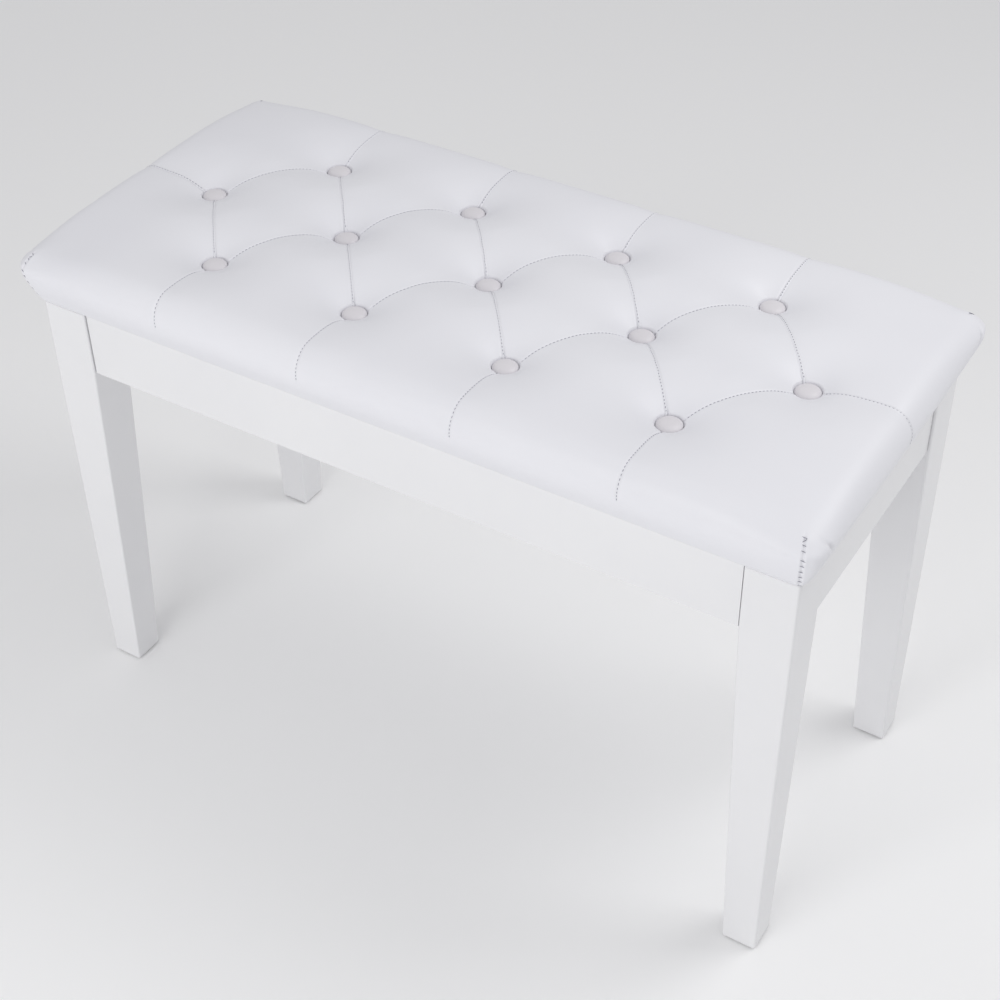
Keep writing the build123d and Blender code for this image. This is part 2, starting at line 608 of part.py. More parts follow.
for sx, side in SIDES:
    with BuildPart() as stay_plate:
        with BuildSketch(Plane.YZ.offset(sx * INNER_X)):
            with Locations(PLATE_CENTRE):
                RectangleRounded(PLATE_W, PLATE_H, PLATE_ROUND)
        extrude(amount=-sx * PLATE_T)
        with Locations(*[facing((sx * (INNER_X - PLATE_T), y, z), (-sx, 0, 0)) for y, z in PLATE_SCREWS]):
            CounterSinkHole(HINGE_SCREW_R + SCREW_PLAY, HINGE_SCREW_HEAD_R + SCREW_PLAY)
    save(stay_plate.part, f"stay_plate_{side}")

    collar_end = ARM_X + HEAD_GAP / 2
    pivot_head = ARM_X - ARM_T - HEAD_GAP
    with BuildPart() as stay_pivot_pin:
        for radius, outer, inner in (
            (PIVOT_COLLAR_R, INNER_X - PLATE_T, collar_end),
            (PIVOT_PIN_R, collar_end, pivot_head),
            (PIVOT_HEAD_R, pivot_head, pivot_head - HEAD_T),
        ):
            with BuildSketch(Plane.YZ.offset(sx * outer)):
                with Locations(PIVOT):
                    Circle(radius)
            extrude(amount=-sx * (outer - inner))
    save(stay_pivot_pin.part, f"stay_pivot_pin_{side}")

    with BuildPart() as stay_arm:
        with BuildSketch(Plane.YZ.offset(sx * ARM_X)):
            with Locations(PIVOT):
                Circle(ARM_ROOT_R)
            with Locations(SLIDE):
                Circle(ARM_TIP_R)
            make_hull()
            with Locations(PIVOT):
                Circle(PIVOT_PIN_R + RUNNING, mode=Mode.SUBTRACT)
            with Locations(SLIDE):
                Circle(STAY_PIN_R + RIVET_FIT, mode=Mode.SUBTRACT)
        extrude(amount=-sx * ARM_T)
    save(stay_arm.part, f"stay_arm_{side}")

    slide_head = WEB_X - WEB_T - HEAD_GAP
    with BuildPart() as stay_slide_pin:
        for radius, outer, inner in (
            (RIVET_R, ARM_X + RIVET_T, ARM_X),
            (STAY_PIN_R, ARM_X, slide_head),
            (SLIDE_HEAD_R, ARM_X - ARM_T, WEB_X + HEAD_GAP),
            (SLIDE_HEAD_R, slide_head, slide_head - HEAD_T),
        ):
            with BuildSketch(Plane.YZ.offset(sx * outer)):
                with Locations(SLIDE):
                    Circle(radius)
            extrude(amount=-sx * (outer - inner))
    save(stay_slide_pin.part, f"stay_slide_pin_{side}")

    track_len = SLOT_REAR - SLOT_FRONT + 2 * TRACK_MARGIN
    track_mid = (SLOT_REAR + SLOT_FRONT) / 2
    web_low = AXIS_Z - STAY_SLOT_R - WEB_BELOW
    with BuildPart() as stay_track:
        with BuildSketch(Plane.YZ.offset(sx * WEB_X)):
            with Locations((track_mid, (web_low + LID_UNDER) / 2)):
                Rectangle(track_len, LID_UNDER - web_low)
            with Locations((track_mid, AXIS_Z)):
                SlotCenterToCenter(SLOT_REAR - SLOT_FRONT, 2 * STAY_SLOT_R, mode=Mode.SUBTRACT)
        extrude(amount=-sx * WEB_T)
        flange_mid = WEB_X - (WEB_T + FLANGE_W) / 2
        with BuildSketch(Plane.XY.offset(LID_UNDER - FLANGE_T)):
            with Locations((sx * flange_mid, track_mid)):
                Rectangle(WEB_T + FLANGE_W, track_len)
        extrude(amount=FLANGE_T)
        with Locations(*[track_screw_spot(sx, y) for y in TRACK_SCREWS_Y]):
            CounterSinkHole(TRACK_SCREW_R + SCREW_PLAY, TRACK_SCREW_HEAD_R + SCREW_PLAY)
    save(stay_track.part, f"stay_track_{side}")

with BuildPart() as stay_plate_screws:
    for sx, _ in SIDES:
        for y, z in PLATE_SCREWS:
            spot = facing((sx * (INNER_X - PLATE_T), y, z), (-sx, 0, 0))
            add(screw(spot, HINGE_SCREW_R, HINGE_SCREW_HEAD_R, HINGE_SCREW_HEAD_H, HINGE_SCREW_L))
save(stay_plate_screws.part, "stay_plate_screws")

with BuildPart() as stay_track_screws:
    for sx, _ in SIDES:
        for y in TRACK_SCREWS_Y:
            spot = track_screw_spot(sx, y)
            add(screw(spot, TRACK_SCREW_R, TRACK_SCREW_HEAD_R, TRACK_SCREW_HEAD_H, TRACK_SCREW_L))
save(stay_track_screws.part, "stay_track_screws")
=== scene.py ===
"""Piano bench: upholstery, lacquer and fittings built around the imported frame."""

import json
import logging
import math
import re
from dataclasses import dataclass, field
from enum import Enum

import bmesh
import bpy
import numpy as np
from mathutils import Matrix, Vector
from mathutils.bvhtree import BVHTree


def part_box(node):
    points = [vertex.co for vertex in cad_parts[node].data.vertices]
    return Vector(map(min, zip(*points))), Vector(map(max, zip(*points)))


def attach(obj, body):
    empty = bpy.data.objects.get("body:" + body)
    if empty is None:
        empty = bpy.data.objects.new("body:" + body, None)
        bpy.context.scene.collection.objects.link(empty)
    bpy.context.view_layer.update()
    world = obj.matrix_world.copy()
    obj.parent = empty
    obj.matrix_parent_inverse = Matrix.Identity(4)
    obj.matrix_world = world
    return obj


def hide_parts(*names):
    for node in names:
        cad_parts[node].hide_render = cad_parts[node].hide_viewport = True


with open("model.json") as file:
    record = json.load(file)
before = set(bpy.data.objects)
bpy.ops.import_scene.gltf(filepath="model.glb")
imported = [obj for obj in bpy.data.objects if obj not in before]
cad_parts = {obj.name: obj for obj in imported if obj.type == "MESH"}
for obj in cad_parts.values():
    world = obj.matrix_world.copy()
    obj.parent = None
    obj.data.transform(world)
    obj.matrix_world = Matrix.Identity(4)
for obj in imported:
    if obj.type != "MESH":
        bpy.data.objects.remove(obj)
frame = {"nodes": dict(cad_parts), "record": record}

log = logging.getLogger("piano_bench")

MM = 0.001
LID = "lid"
FRAME = "frame"
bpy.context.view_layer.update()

# Broad, faint patches in the colour of every finish.
PATCHES_PER_METRE = 9.0
# Frames that the cover is blown up for.
CLOTH_FRAMES = 20
# Half width of the strip along a seam that is cut finer, and where its cuts run beside the seam.
SEAM_BAND = 9 * MM
LANES_MM = (0.0, 0.6, -0.6, 1.2, -1.2, 1.9, -1.9, 3.0, -3.0)
# Degrees round from the end to each pleat under a corner of the board.
PLEAT_ANGLES = (22, 38, 54, 70)
# How far outside the cover a search for its surface starts.
CLEAR = 80 * MM


# ---------------------------------------------------------------- materials


def linear(colour: str) -> tuple[float, float, float, float]:
    """Turn an sRGB hex colour into the linear colour that shaders take.

    Args:
        colour: Six hex digits after a hash sign.

    Returns:
        Linear red, green and blue, and an alpha of one.
    """
    parts = [int(colour[i : i + 2], 16) / 255 for i in (1, 3, 5)]
    return (*[c / 12.92 if c <= 0.04045 else ((c + 0.055) / 1.055) ** 2.4 for c in parts], 1.0)


def add_node(
    tree: bpy.types.NodeTree,
    kind: str,
    settings: dict[str, object] | None = None,
    **links: bpy.types.NodeSocket,
) -> bpy.types.Node:
    """Add one shader node.

    Args:
        tree: The material's node tree.
        kind: Blender's name for the node type.
        settings: Node properties by name, or socket values where the key is a socket's name.
        links: Output sockets to link in, by input name with underscores for spaces.

    Returns:
        The new node.
    """
    node = tree.nodes.new(kind)
    for name, value in (settings or {}).items():
        if hasattr(node, name):
            setattr(node, name, value)
        else:
            node.inputs[name].default_value = value
    for name, output in links.items():
        tree.links.new(output, node.inputs[name.replace("_", " ")])
    return node


class Grain(Enum):
    """How a surface is textured."""

    LACQUER = "orange peel of a sprayed coat"
    LEATHERETTE = "embossed calf grain"
    WOOD = "long fibres of sawn or peeled wood"
    NON_WOVEN = "spun-bonded fibres"
    PLATED = "drawn and plated metal"
    MOULDED = "moulded plastic or rubber"
    THREAD = "twisted thread"


@dataclass(frozen=True)
class Relief:
    """The texture that gives a grain its height.

    Attributes:
        kind: Blender's name for the texture node.
        settings: Its socket values, apart from its scale.
        drawn_out: Scale along the length, below one where the grain runs lengthwise.
        tints: Whether the colour follows the same lines.
    """

    kind: str
    settings: dict[str, float]
    drawn_out: float = 1.0
    tints: bool = False


RELIEFS = {
    Grain.LACQUER: Relief("ShaderNodeTexNoise", {"Detail": 1.5}),
    Grain.MOULDED: Relief("ShaderNodeTexNoise", {"Detail": 1.5}),
    Grain.WOOD: Relief("ShaderNodeTexNoise", {"Detail": 5.0}, drawn_out=0.04, tints=True),
    Grain.PLATED: Relief("ShaderNodeTexNoise", {"Detail": 2.0}, drawn_out=0.06),
    Grain.NON_WOVEN: Relief("ShaderNodeTexNoise", {"Detail": 4.0, "Distortion": 2.5}, tints=True),
    Grain.THREAD: Relief("ShaderNodeTexWave", {"Distortion": 1.0}),
}


@dataclass(frozen=True)
class Finish:
    """A real material and the way its surface was made.

    Attributes:
        name: The maker's name for it.
        slot: The record's material slot it belongs to.
        grain: The kind of texture.
        colour: Its main sRGB colour.
        second: The colour of its darker or dirtier patches.
        roughness: Middle roughness.
        spread: How far roughness wanders either side of the middle.
        ior: Index of refraction.
        metallic: One for bare metal.
        pitch_mm: Real size of one grain, fibre or cell.
        depth_mm: Height of that grain.
        coat: Weight of a clear top coat.
        coat_roughness: Roughness of that coat.
        sheen: Weight of the soft edge glow of fibres.
    """

    name: str
    slot: str
    grain: Grain
    colour: str
    second: str
    roughness: float
    spread: float = 0.06
    ior: float = 1.5
    metallic: float = 0.0
    pitch_mm: float = 1.0
    depth_mm: float = 0.05
    coat: float = 0.0
    coat_roughness: float = 0.1
    sheen: float = 0.0

    def material(self) -> bpy.types.Material:
        """Build the material, or return it if it is there already."""
        made = bpy.data.materials.get(self.name)
        if made:
            return made
        made = bpy.data.materials.new(self.name)
        made.use_nodes = True
        tree = made.node_tree
        tree.nodes.clear()
        out = add_node(tree, "ShaderNodeOutputMaterial")
        place = add_node(tree, "ShaderNodeTexCoord").outputs["Object"]
        settings = {
            "Metallic": self.metallic,
            "Coat Weight": self.coat,
            "Coat Roughness": self.coat_roughness,
            "Sheen Weight": self.sheen,
            "Sheen Roughness": 0.4,
        }
        if not self.metallic:
            settings["IOR"] = self.ior
        shader = add_node(tree, "ShaderNodeBsdfPrincipled", settings)
        patches, height = self._pattern(tree, place)
        tint = add_node(tree, "ShaderNodeMix", {"data_type": "RGBA"})
        tint.inputs[6].default_value = linear(self.colour)
        tint.inputs[7].default_value = linear(self.second)
        tree.links.new(patches, tint.inputs[0])
        tree.links.new(tint.outputs[2], shader.inputs["Base Color"])
        rough = add_node(
            tree,
            "ShaderNodeMapRange",
            {"To Min": self.roughness - self.spread, "To Max": self.roughness + self.spread},
            Value=patches,
        )
        tree.links.new(rough.outputs[0], shader.inputs["Roughness"])
        bump = add_node(
            tree, "ShaderNodeBump", {"Strength": 1.0, "Distance": self.depth_mm * MM}, Height=height
        )
        tree.links.new(bump.outputs[0], shader.inputs["Normal"])
        tree.links.new(shader.outputs[0], out.inputs["Surface"])
        return made

    def _pattern(
        self, tree: bpy.types.NodeTree, place: bpy.types.NodeSocket
    ) -> tuple[bpy.types.NodeSocket, bpy.types.NodeSocket]:
        """Build the pattern nodes.

        Args:
            tree: The material's node tree.
            place: Object coordinates, in metres.

        Returns:
            The socket of the broad patches and the socket of the surface's height.
        """
        fine = 1 / (self.pitch_mm * MM)
        patches = {"Scale": PATCHES_PER_METRE, "Detail": 3.0, "Roughness": 0.55}
        broad = add_node(tree, "ShaderNodeTexNoise", patches, Vector=place).outputs["Fac"]
        if self.grain is Grain.LEATHERETTE:
            return broad, self._embossing(tree, place, fine)
        relief = RELIEFS[self.grain]
        if relief.drawn_out != 1.0:
            along = add_node(tree, "ShaderNodeMapping", Vector=place)
            along.inputs["Scale"].default_value = (relief.drawn_out, 1.0, 1.0)
            place = along.outputs[0]
        lines = add_node(tree, relief.kind, {"Scale": fine, **relief.settings}, Vector=place).outputs["Fac"]
        return (lines if relief.tints else broad), lines

    def _embossing(
        self, tree: bpy.types.NodeTree, place: bpy.types.NodeSocket, fine: float
    ) -> bpy.types.NodeSocket:
        """Build the calf grain: small rounded cells over wider, softer creases.

        Args:
            tree: The material's node tree.
            place: Object coordinates, in metres.
            fine: Cells per metre.

        Returns:
            The socket of the surface's height.
        """
        cell = {"feature": "SMOOTH_F1", "Scale": fine, "Smoothness": 0.35, "Randomness": 1.0}
        cells = add_node(tree, "ShaderNodeTexVoronoi", cell, Vector=place).outputs["Distance"]
        crease = {"Scale": fine / 6, "Detail": 4.0}
        creases = add_node(tree, "ShaderNodeTexNoise", crease, Vector=place).outputs["Fac"]
        height = add_node(tree, "ShaderNodeMath", {"operation": "MULTIPLY_ADD"})
        tree.links.new(cells, height.inputs[0])
        height.inputs[1].default_value = -0.8
        tree.links.new(creases, height.inputs[2])
        return height.outputs[0]


# Sprayed satin lacquer on hardwood: smooth, with a faint orange peel and a soft clear sheen.
LACQUER = Finish(
    "satin_white_lacquer", "white_lacquer", Grain.LACQUER, "#ECECED", "#E6E6E8", 0.36,
    pitch_mm=2.2, depth_mm=0.02, coat=0.25, coat_roughness=0.18,
)
# Embossed PU leatherette: matt-satin skin with a very fine calf grain.
LEATHERETTE = Finish(
    "white_pu_leatherette", "white_leatherette", Grain.LEATHERETTE, "#ECECF0", "#E6E6EB", 0.46,
    ior=1.48, pitch_mm=0.9, depth_mm=0.035, sheen=0.05,
)
# The same skin drawn tight over the buttons: a little warmer and glossier than the seat.
BUTTON_SKIN = Finish(
    "stretched_button_leatherette", "white_leatherette", Grain.LEATHERETTE, "#E3E0E3", "#DCD9DD", 0.42,
    ior=1.48, pitch_mm=1.1, depth_mm=0.025,
)
# Bonded polyester sewing thread, coloured darker than the skin it is sunk in as painted shade: its grey
# dashes stand in for the shadow in the needle holes along each seam.
THREAD = Finish(
    "polyester_thread_grey_painted_shade", "white_leatherette", Grain.THREAD, "#A6A6B0", "#9A9AA5", 0.6,
    pitch_mm=0.5, depth_mm=0.05, sheen=0.2,
)
# Heavier thread of the whip stitches: grey dashes that stand out on the white corners, their grey being
# painted shade for the shadow in the stitch holes of the corner darts.
WHIP_THREAD_PAINTED_SHADE = Finish(
    "whip_thread_grey_painted_shade", "white_leatherette", Grain.THREAD, "#A2A2AC", "#92929D", 0.6,
    pitch_mm=0.5, depth_mm=0.05, sheen=0.2,
)
# Roller-painted hardboard: flatter and greyer than the lacquer, with a coarse peel.
PANEL_PAINT = Finish(
    "painted_hardboard", "white_panel", Grain.LACQUER, "#E4E4E6", "#DCDCDF", 0.5,
    pitch_mm=1.4, depth_mm=0.03,
)
# Sawn, unpainted rubberwood: pale tan, matt, with long darker fibres.
BLOCK_WOOD = Finish(
    "sawn_rubberwood", "corner_block_wood", Grain.WOOD, "#D9C4A0", "#C6AA80", 0.62,
    pitch_mm=1.2, depth_mm=0.12,
)
# Bare peeled poplar: warm and matt, with soft streaks along the board.
PLYWOOD = Finish(
    "poplar_plywood", "plywood", Grain.WOOD, "#D8BC90", "#C29F6E", 0.6, pitch_mm=1.6, depth_mm=0.1
)
# Open-cell foam inside the seat: matt, cream, full of small pores.
SEAT_FOAM = Finish(
    "polyurethane_foam", "foam", Grain.NON_WOVEN, "#EFE4BE", "#E2D3A4", 0.9, pitch_mm=1.2, depth_mm=0.25
)
# Spun-bonded polypropylene: near-black, matt, with a faint fuzz that lifts at a glance angle.
DUST_CLOTH = Finish(
    "spunbond_dust_cloth", "dust_cloth", Grain.NON_WOVEN, "#2A2A2C", "#1C1C1E", 0.85,
    pitch_mm=0.8, depth_mm=0.12, sheen=0.3,
)
# Waxed linen twine: cream, with its twist showing as fine bands.
TWINE = Finish(
    "waxed_button_twine", "twine", Grain.THREAD, "#D8D2C0", "#C4BCA6", 0.7, pitch_mm=0.8, depth_mm=0.1
)
# Moulded polythene: milky grey with a soft, greasy shine.
FOOT_PLASTIC = Finish(
    "moulded_polythene_pad", "foot_plastic", Grain.MOULDED, "#B8B8BA", "#A8A8AA", 0.5,
    pitch_mm=0.8, depth_mm=0.03,
)
# Clear vinyl rubber on white lacquer: reads as pale grey and smooth.
BUMPER_RUBBER = Finish(
    "clear_bumper_rubber", "bumper_rubber", Grain.MOULDED, "#D2D2D0", "#C4C4C2", 0.35,
    pitch_mm=0.6, depth_mm=0.01,
)
# Nickel over rolled steel: warm, bright, with fine lines along the leaf.
HINGE_PLATE = Finish(
    "nickel_plated_steel", "hinge_steel", Grain.PLATED, "#C9C7C2", "#B4B2AE", 0.28,
    metallic=1.0, pitch_mm=0.25, depth_mm=0.01,
)
# Zinc over drawn steel: cooler and duller than the nickel.
ZINC_PLATE = Finish(
    "zinc_plated_steel", "zinc_steel", Grain.PLATED, "#BFC2C4", "#A4A8AC", 0.34,
    metallic=1.0, pitch_mm=0.3, depth_mm=0.015,
)


# ------------------------------------------------------------- small helpers


def piece_from(bm: bmesh.types.BMesh, name: str, finish: Finish, smooth: bool = True) -> bpy.types.Object:
    """Turn a finished bmesh into a scene object.

    Args:
        bm: The mesh being built; it is freed.
        name: The piece's name.
        finish: What it is made of.
        smooth: Whether its faces are shaded smooth.

    Returns:
        The new object, at the origin.
    """
    mesh = bpy.data.meshes.new(name)
    bm.to_mesh(mesh)
    bm.free()
    mesh.polygons.foreach_set("use_smooth", [smooth] * len(mesh.polygons))
    mesh.materials.append(finish.material())
    piece = bpy.data.objects.new(name, mesh)
    bpy.context.scene.collection.objects.link(piece)
    return piece


def applied(piece: bpy.types.Object) -> None:
    """Bake a piece's modifiers into its mesh."""
    graph = bpy.context.evaluated_depsgraph_get()
    baked = bpy.data.meshes.new_from_object(piece.evaluated_get(graph))
    piece.modifiers.clear()
    old = piece.data
    piece.data = baked
    bpy.data.meshes.remove(old)


def corners(mesh: bpy.types.Mesh) -> np.ndarray:
    """A mesh's vertex positions, one row each, in metres."""
    flat = np.empty(len(mesh.vertices) * 3, np.float32)
    mesh.vertices.foreach_get("co", flat)
    return flat.reshape(-1, 3).astype(float)


def smoothstep(value: np.ndarray, low: float, high: float) -> np.ndarray:
    """Ease from zero at low to one at high."""
    t = np.clip((value - low) / (high - low), 0, 1)
    return t * t * (3 - 2 * t)


def bell(value: np.ndarray, width: float) -> np.ndarray:
    """One at zero, falling away smoothly over about the given width."""
    return np.exp(-((value / width) ** 2))


def islands(node: str) -> list[tuple[Vector, Vector]]:
    """Find the separate solids of a CAD node.

    Args:
        node: The node's name.

    Returns:
        The lowest and highest corner of each solid, in the row frame.
    """
    bm = bmesh.new()
    bm.from_mesh(frame["nodes"][node].data)
    bmesh.ops.remove_doubles(bm, verts=bm.verts, dist=1e-6)
    seen: set[int] = set()
    boxes = []
    bm.verts.index_update()
    for start in bm.verts:
        if start.index in seen:
            continue
        stack, members = [start], []
        seen.add(start.index)
        while stack:
            vert = stack.pop()
            members.append(vert.co.copy())
            for edge in vert.link_edges:
                other = edge.other_vert(vert)
                if other.index not in seen:
                    seen.add(other.index)
                    stack.append(other)
        low = Vector(min(co[i] for co in members) for i in range(3))
        high = Vector(max(co[i] for co in members) for i in range(3))
        boxes.append((low, high))
    bm.free()
    return boxes


# ---------------------------------------------------------------- upholstery


class SeamStyle(Enum):
    """How a seam of the cover shows."""

    TOPSTITCHED = "a shallow channel with its stitches on show"
    FOLDED = "a pleat whose near lip stands a little over the far one"


@dataclass(frozen=True)
class Seam:
    """A straight seam in plan, from one point to another.

    Attributes:
        start: Plan point at a button, in metres.
        end: Plan point at another button or past the cushion's edge.
        style: How it is sewn.
        over_edge: Whether it runs on over the rounded edge and down the side.
    """

    start: Vector
    end: Vector
    style: SeamStyle
    over_edge: bool = False

    @property
    def along(self) -> Vector:
        """Unit direction in plan."""
        return (self.end - self.start).normalized()

    @property
    def across(self) -> Vector:
        """Unit direction square to the seam, in plan."""
        return Vector((-self.along.y, self.along.x))

    @property
    def length(self) -> float:
        """Plan length in metres."""
        return (self.end - self.start).length


@dataclass
class TuftedSeat:
    """The padded, button-tufted seat: cover, buttons and stitching.

    Attributes:
        low: Lowest corner of the room that the cover fills.
        high: Highest corner of that room.
        buttons: Underside centre of each button.
        edge_radius: Radius of the top edge.
        corner_radius: Radius of the corners in plan, at the widest line.
        foot_radius: Radius of the corners in plan, at the lower edge.
        edge_drop: How far the top's edge lies below the crown.
        corner_fall: How much lower the top is at its corners.
        fall_reach: How far in from the ends and from the long sides that fall is felt.
        tuck: How far the lower edge stands inside the widest line.
        widest_up: Height of the widest line above the underside.
        cell: Side of one mesh cell before subdivision.
        turn_in: Width of the cover turned in under the board.
        button_bed: Radius of the flat that a button is pulled down on.
        bed_height: Height of that flat over the button's underside.
        dimple_reach: How far a button's pull is felt.
        valley: Depth of the valley along a seam.
        valley_width: How far from the seam the valley is felt.
        valley_fade: How far in from the cushion's edges the valleys reach their full depth.
        swell_cap: The furthest that blowing up may move a point.
        stitch_pitch: Length of a lock stitch.
        thread: Radius of its thread.
        groove: Depth of the sewn groove itself.
        dart_reach: How far a corner dart runs in over the top, past the lower edge's line.
        dart_inset: How far the darts' lower ends stand inside the ends and the long sides.
        dart_lean: Degrees that the darts turn away from square to the long sides.
    """

    low: Vector
    high: Vector
    buttons: list[Vector]
    edge_radius: float = 19 * MM
    corner_radius: float = 18 * MM
    foot_radius: float = 9 * MM
    edge_drop: float = 11 * MM
    corner_fall: float = 8 * MM
    fall_reach: tuple[float, float] = (60 * MM, 55 * MM)
    tuck: float = 12.5 * MM
    widest_up: float = 34 * MM
    cell: float = 5.6 * MM
    turn_in: float = 54 * MM
    button_bed: float = 10.5 * MM
    bed_height: float = 3.6 * MM
    dimple_reach: float = 21 * MM
    valley: float = 4.6 * MM
    valley_width: float = 13 * MM
    valley_fade: float = 60 * MM
    swell_cap: float = 7 * MM
    stitch_pitch: float = 3 * MM
    thread: float = 0.4 * MM
    groove: float = 0.9 * MM
    dart_reach: float = 0.5 * MM
    dart_inset: tuple[float, float] = (18 * MM, 17 * MM)
    dart_lean: float = 20.92
    seams: list[Seam] = field(default_factory=list)

    def __post_init__(self) -> None:
        """Lay out the seams between the buttons and out to the edges."""
        self.half = Vector(((self.high.x - self.low.x) / 2, (self.high.y - self.low.y) / 2))
        rows = sorted({round(b.y, 4) for b in self.buttons})
        front, middle, back = [
            sorted((b.xy for b in self.buttons if abs(b.y - row) < MM), key=lambda p: p.x) for row in rows
        ]
        step = middle[1].x - middle[0].x
        past = 8 * MM
        for button in middle:
            for row in (front, back):
                for other in row:
                    if abs(other.x - button.x) < 0.6 * step:
                        falling = (other.x - button.x) * (other.y - button.y) < 0
                        style = SeamStyle.FOLDED if falling else SeamStyle.TOPSTITCHED
                        self.seams.append(Seam(button, other, style))
        for row, sign, style in ((front, -1, SeamStyle.TOPSTITCHED), (back, 1, SeamStyle.FOLDED)):
            for button in row:
                edge = Vector((button.x, sign * (self.half.y + past)))
                self.seams.append(Seam(button, edge, style, over_edge=True))
        for button, sign in ((middle[0], -1), (middle[-1], 1)):
            edge = Vector((sign * (self.half.x + past), button.y))
            self.seams.append(Seam(button, edge, SeamStyle.FOLDED, over_edge=True))

    # -- the cover's shape before it is blown up

    def blank(self) -> bmesh.types.BMesh:
        """A box of even quads, open underneath inside the turned-in rim."""
        bm = bmesh.new()
        bmesh.ops.create_cube(bm, size=2.0)
        size = (self.half.x, self.half.y, (self.high.z - self.low.z - self.edge_drop) / 2)
        bmesh.ops.scale(bm, vec=size, verts=bm.verts)
        bmesh.ops.translate(bm, vec=(0, 0, self.low.z + size[2]), verts=bm.verts)
        for axis in range(3):
            lines = [
                e for e in bm.edges
                if abs((e.verts[0].co - e.verts[1].co)[axis]) > 0.9 * (e.verts[0].co - e.verts[1].co).length
            ]
            cuts = max(1, round(2 * size[axis] / self.cell) - 1)
            bmesh.ops.subdivide_edges(bm, edges=lines, cuts=cuts, use_grid_fill=True)
        hole = [
            f for f in bm.faces
            if f.normal.z < -0.5
            and abs(f.calc_center_median().x) < self.half.x - self.turn_in
            and abs(f.calc_center_median().y) < self.half.y - self.turn_in
        ]
        rim = bmesh.ops.extrude_face_region(bm, geom=hole)
        inner = [g for g in rim["geom"] if isinstance(g, bmesh.types.BMVert)]
        bmesh.ops.translate(bm, vec=(0, 0, 1.5 * MM), verts=inner)
        bmesh.ops.delete(bm, geom=hole, context="FACES")
        bmesh.ops.recalc_face_normals(bm, faces=bm.faces)
        return bm

    def rounded(self, at: np.ndarray) -> np.ndarray:
        """Round the box's top edge, mitre its corners and taper its sides towards the bottom.

        Args:
            at: Points on the box.

        Returns:
            The points on the rounded form.
        """
        # Height and inset of each point on the rounded top edge, then on the side that tapers in.
        r = self.edge_radius
        half = np.array(self.half)
        top = self.high.z - self.edge_drop
        under = at[:, 2] < self.low.z + 0.01 * MM
        inset = np.min(half - np.abs(at[:, :2]), axis=1)
        drop = top - at[:, 2]
        angle = np.arctan2(np.maximum(r - inset, 0), np.maximum(r - drop, 1e-9))
        inside = r - r * np.sin(angle)
        low_part = drop > r
        inside[low_part] = 0.0
        widest = self.low.z + self.widest_up
        height = np.where(low_part, at[:, 2], top - (r - r * np.cos(angle)))
        inside += self.tuck * np.clip((widest - height) / self.widest_up, 0, 1) ** 1.25
        # Each point's place in plan, moved in from the nearest sides, least along the edge itself.
        out = at.copy()
        moves = (inset < r) & ~under
        own = half - np.abs(at[:, :2]) - inset[:, None]
        pull = np.clip(1 - own / (2 * r), 0, 1) ** 2
        ring = np.sign(at[:, :2]) * (np.abs(at[:, :2]) + (inset - inside)[:, None] * pull)
        ring[under] = at[under, :2] * (1 - self.tuck / half)
        limit = half - inside[:, None]
        limit[under] = half - self.tuck
        # Round corners in plan, tighter towards the lower edge.
        tight = self.foot_radius / self.corner_radius
        down = np.clip((widest - height) / self.widest_up, 0, 1)
        down[under] = 1.0
        corner = self.corner_radius * np.where(under | low_part, 1 - down * (1 - tight), np.sin(angle))
        core = np.clip(ring, corner[:, None] - limit, limit - corner[:, None])
        away = ring - core
        reach = np.linalg.norm(away, axis=1)
        biggest = np.max(np.abs(away), axis=1)
        scale = np.where(reach > 1e-9, biggest / np.maximum(reach, 1e-9), 1.0)
        ring = core + away * scale[:, None]
        moves |= under
        out[moves, :2] = ring[moves]
        out[~under, 2] = np.where(moves, height, at[:, 2])[~under]
        return out

    def crown(self, at: np.ndarray) -> np.ndarray:
        """Rise of the padding above the box, fullest in the middle, and its fall to the corners."""
        u = np.clip(np.abs(at[:, 0]) / self.half.x, 0, 1)
        v = np.clip(np.abs(at[:, 1]) / self.half.y, 0, 1)
        from_end = (1 - u) * self.half.x / self.fall_reach[0]
        from_side = (1 - v) * self.half.y / self.fall_reach[1]
        fall = self.corner_fall * np.exp(-(from_end**2) - from_side**2)
        return self.edge_drop * 0.95 * (1 - u**3.0) * (1 - v**2.2) - fall

    def seam_distance(self, at: np.ndarray) -> tuple[np.ndarray, np.ndarray, np.ndarray]:
        """Measure every point against the nearest seam.

        Args:
            at: Points of the cover.

        Returns:
            Plan distance to the nearest seam, signed side of it, and whether that seam is folded.
        """
        best = np.full(len(at), 1.0)
        side = np.zeros(len(at))
        folded = np.zeros(len(at), bool)
        for seam in self.seams:
            rel = at[:, :2] - np.array(seam.start)
            t = rel @ np.array(seam.along)
            if seam.over_edge:
                beyond = np.maximum(-t, 0)
            else:
                beyond = np.maximum(np.maximum(-t, t - seam.length), 0)
            s = rel @ np.array(seam.across)
            distance = np.hypot(s, beyond)
            near = distance < best
            best[near] = distance[near]
            side[near] = np.sign(s[near])
            folded[near] = seam.style is SeamStyle.FOLDED
        return best, side, folded

    def button_distance(self, at: np.ndarray) -> np.ndarray:
        """Plan distance of every point to the nearest button's centre."""
        centres = np.array([b.xy for b in self.buttons])
        return np.min(np.linalg.norm(at[:, None, :2] - centres[None], axis=2), axis=1)

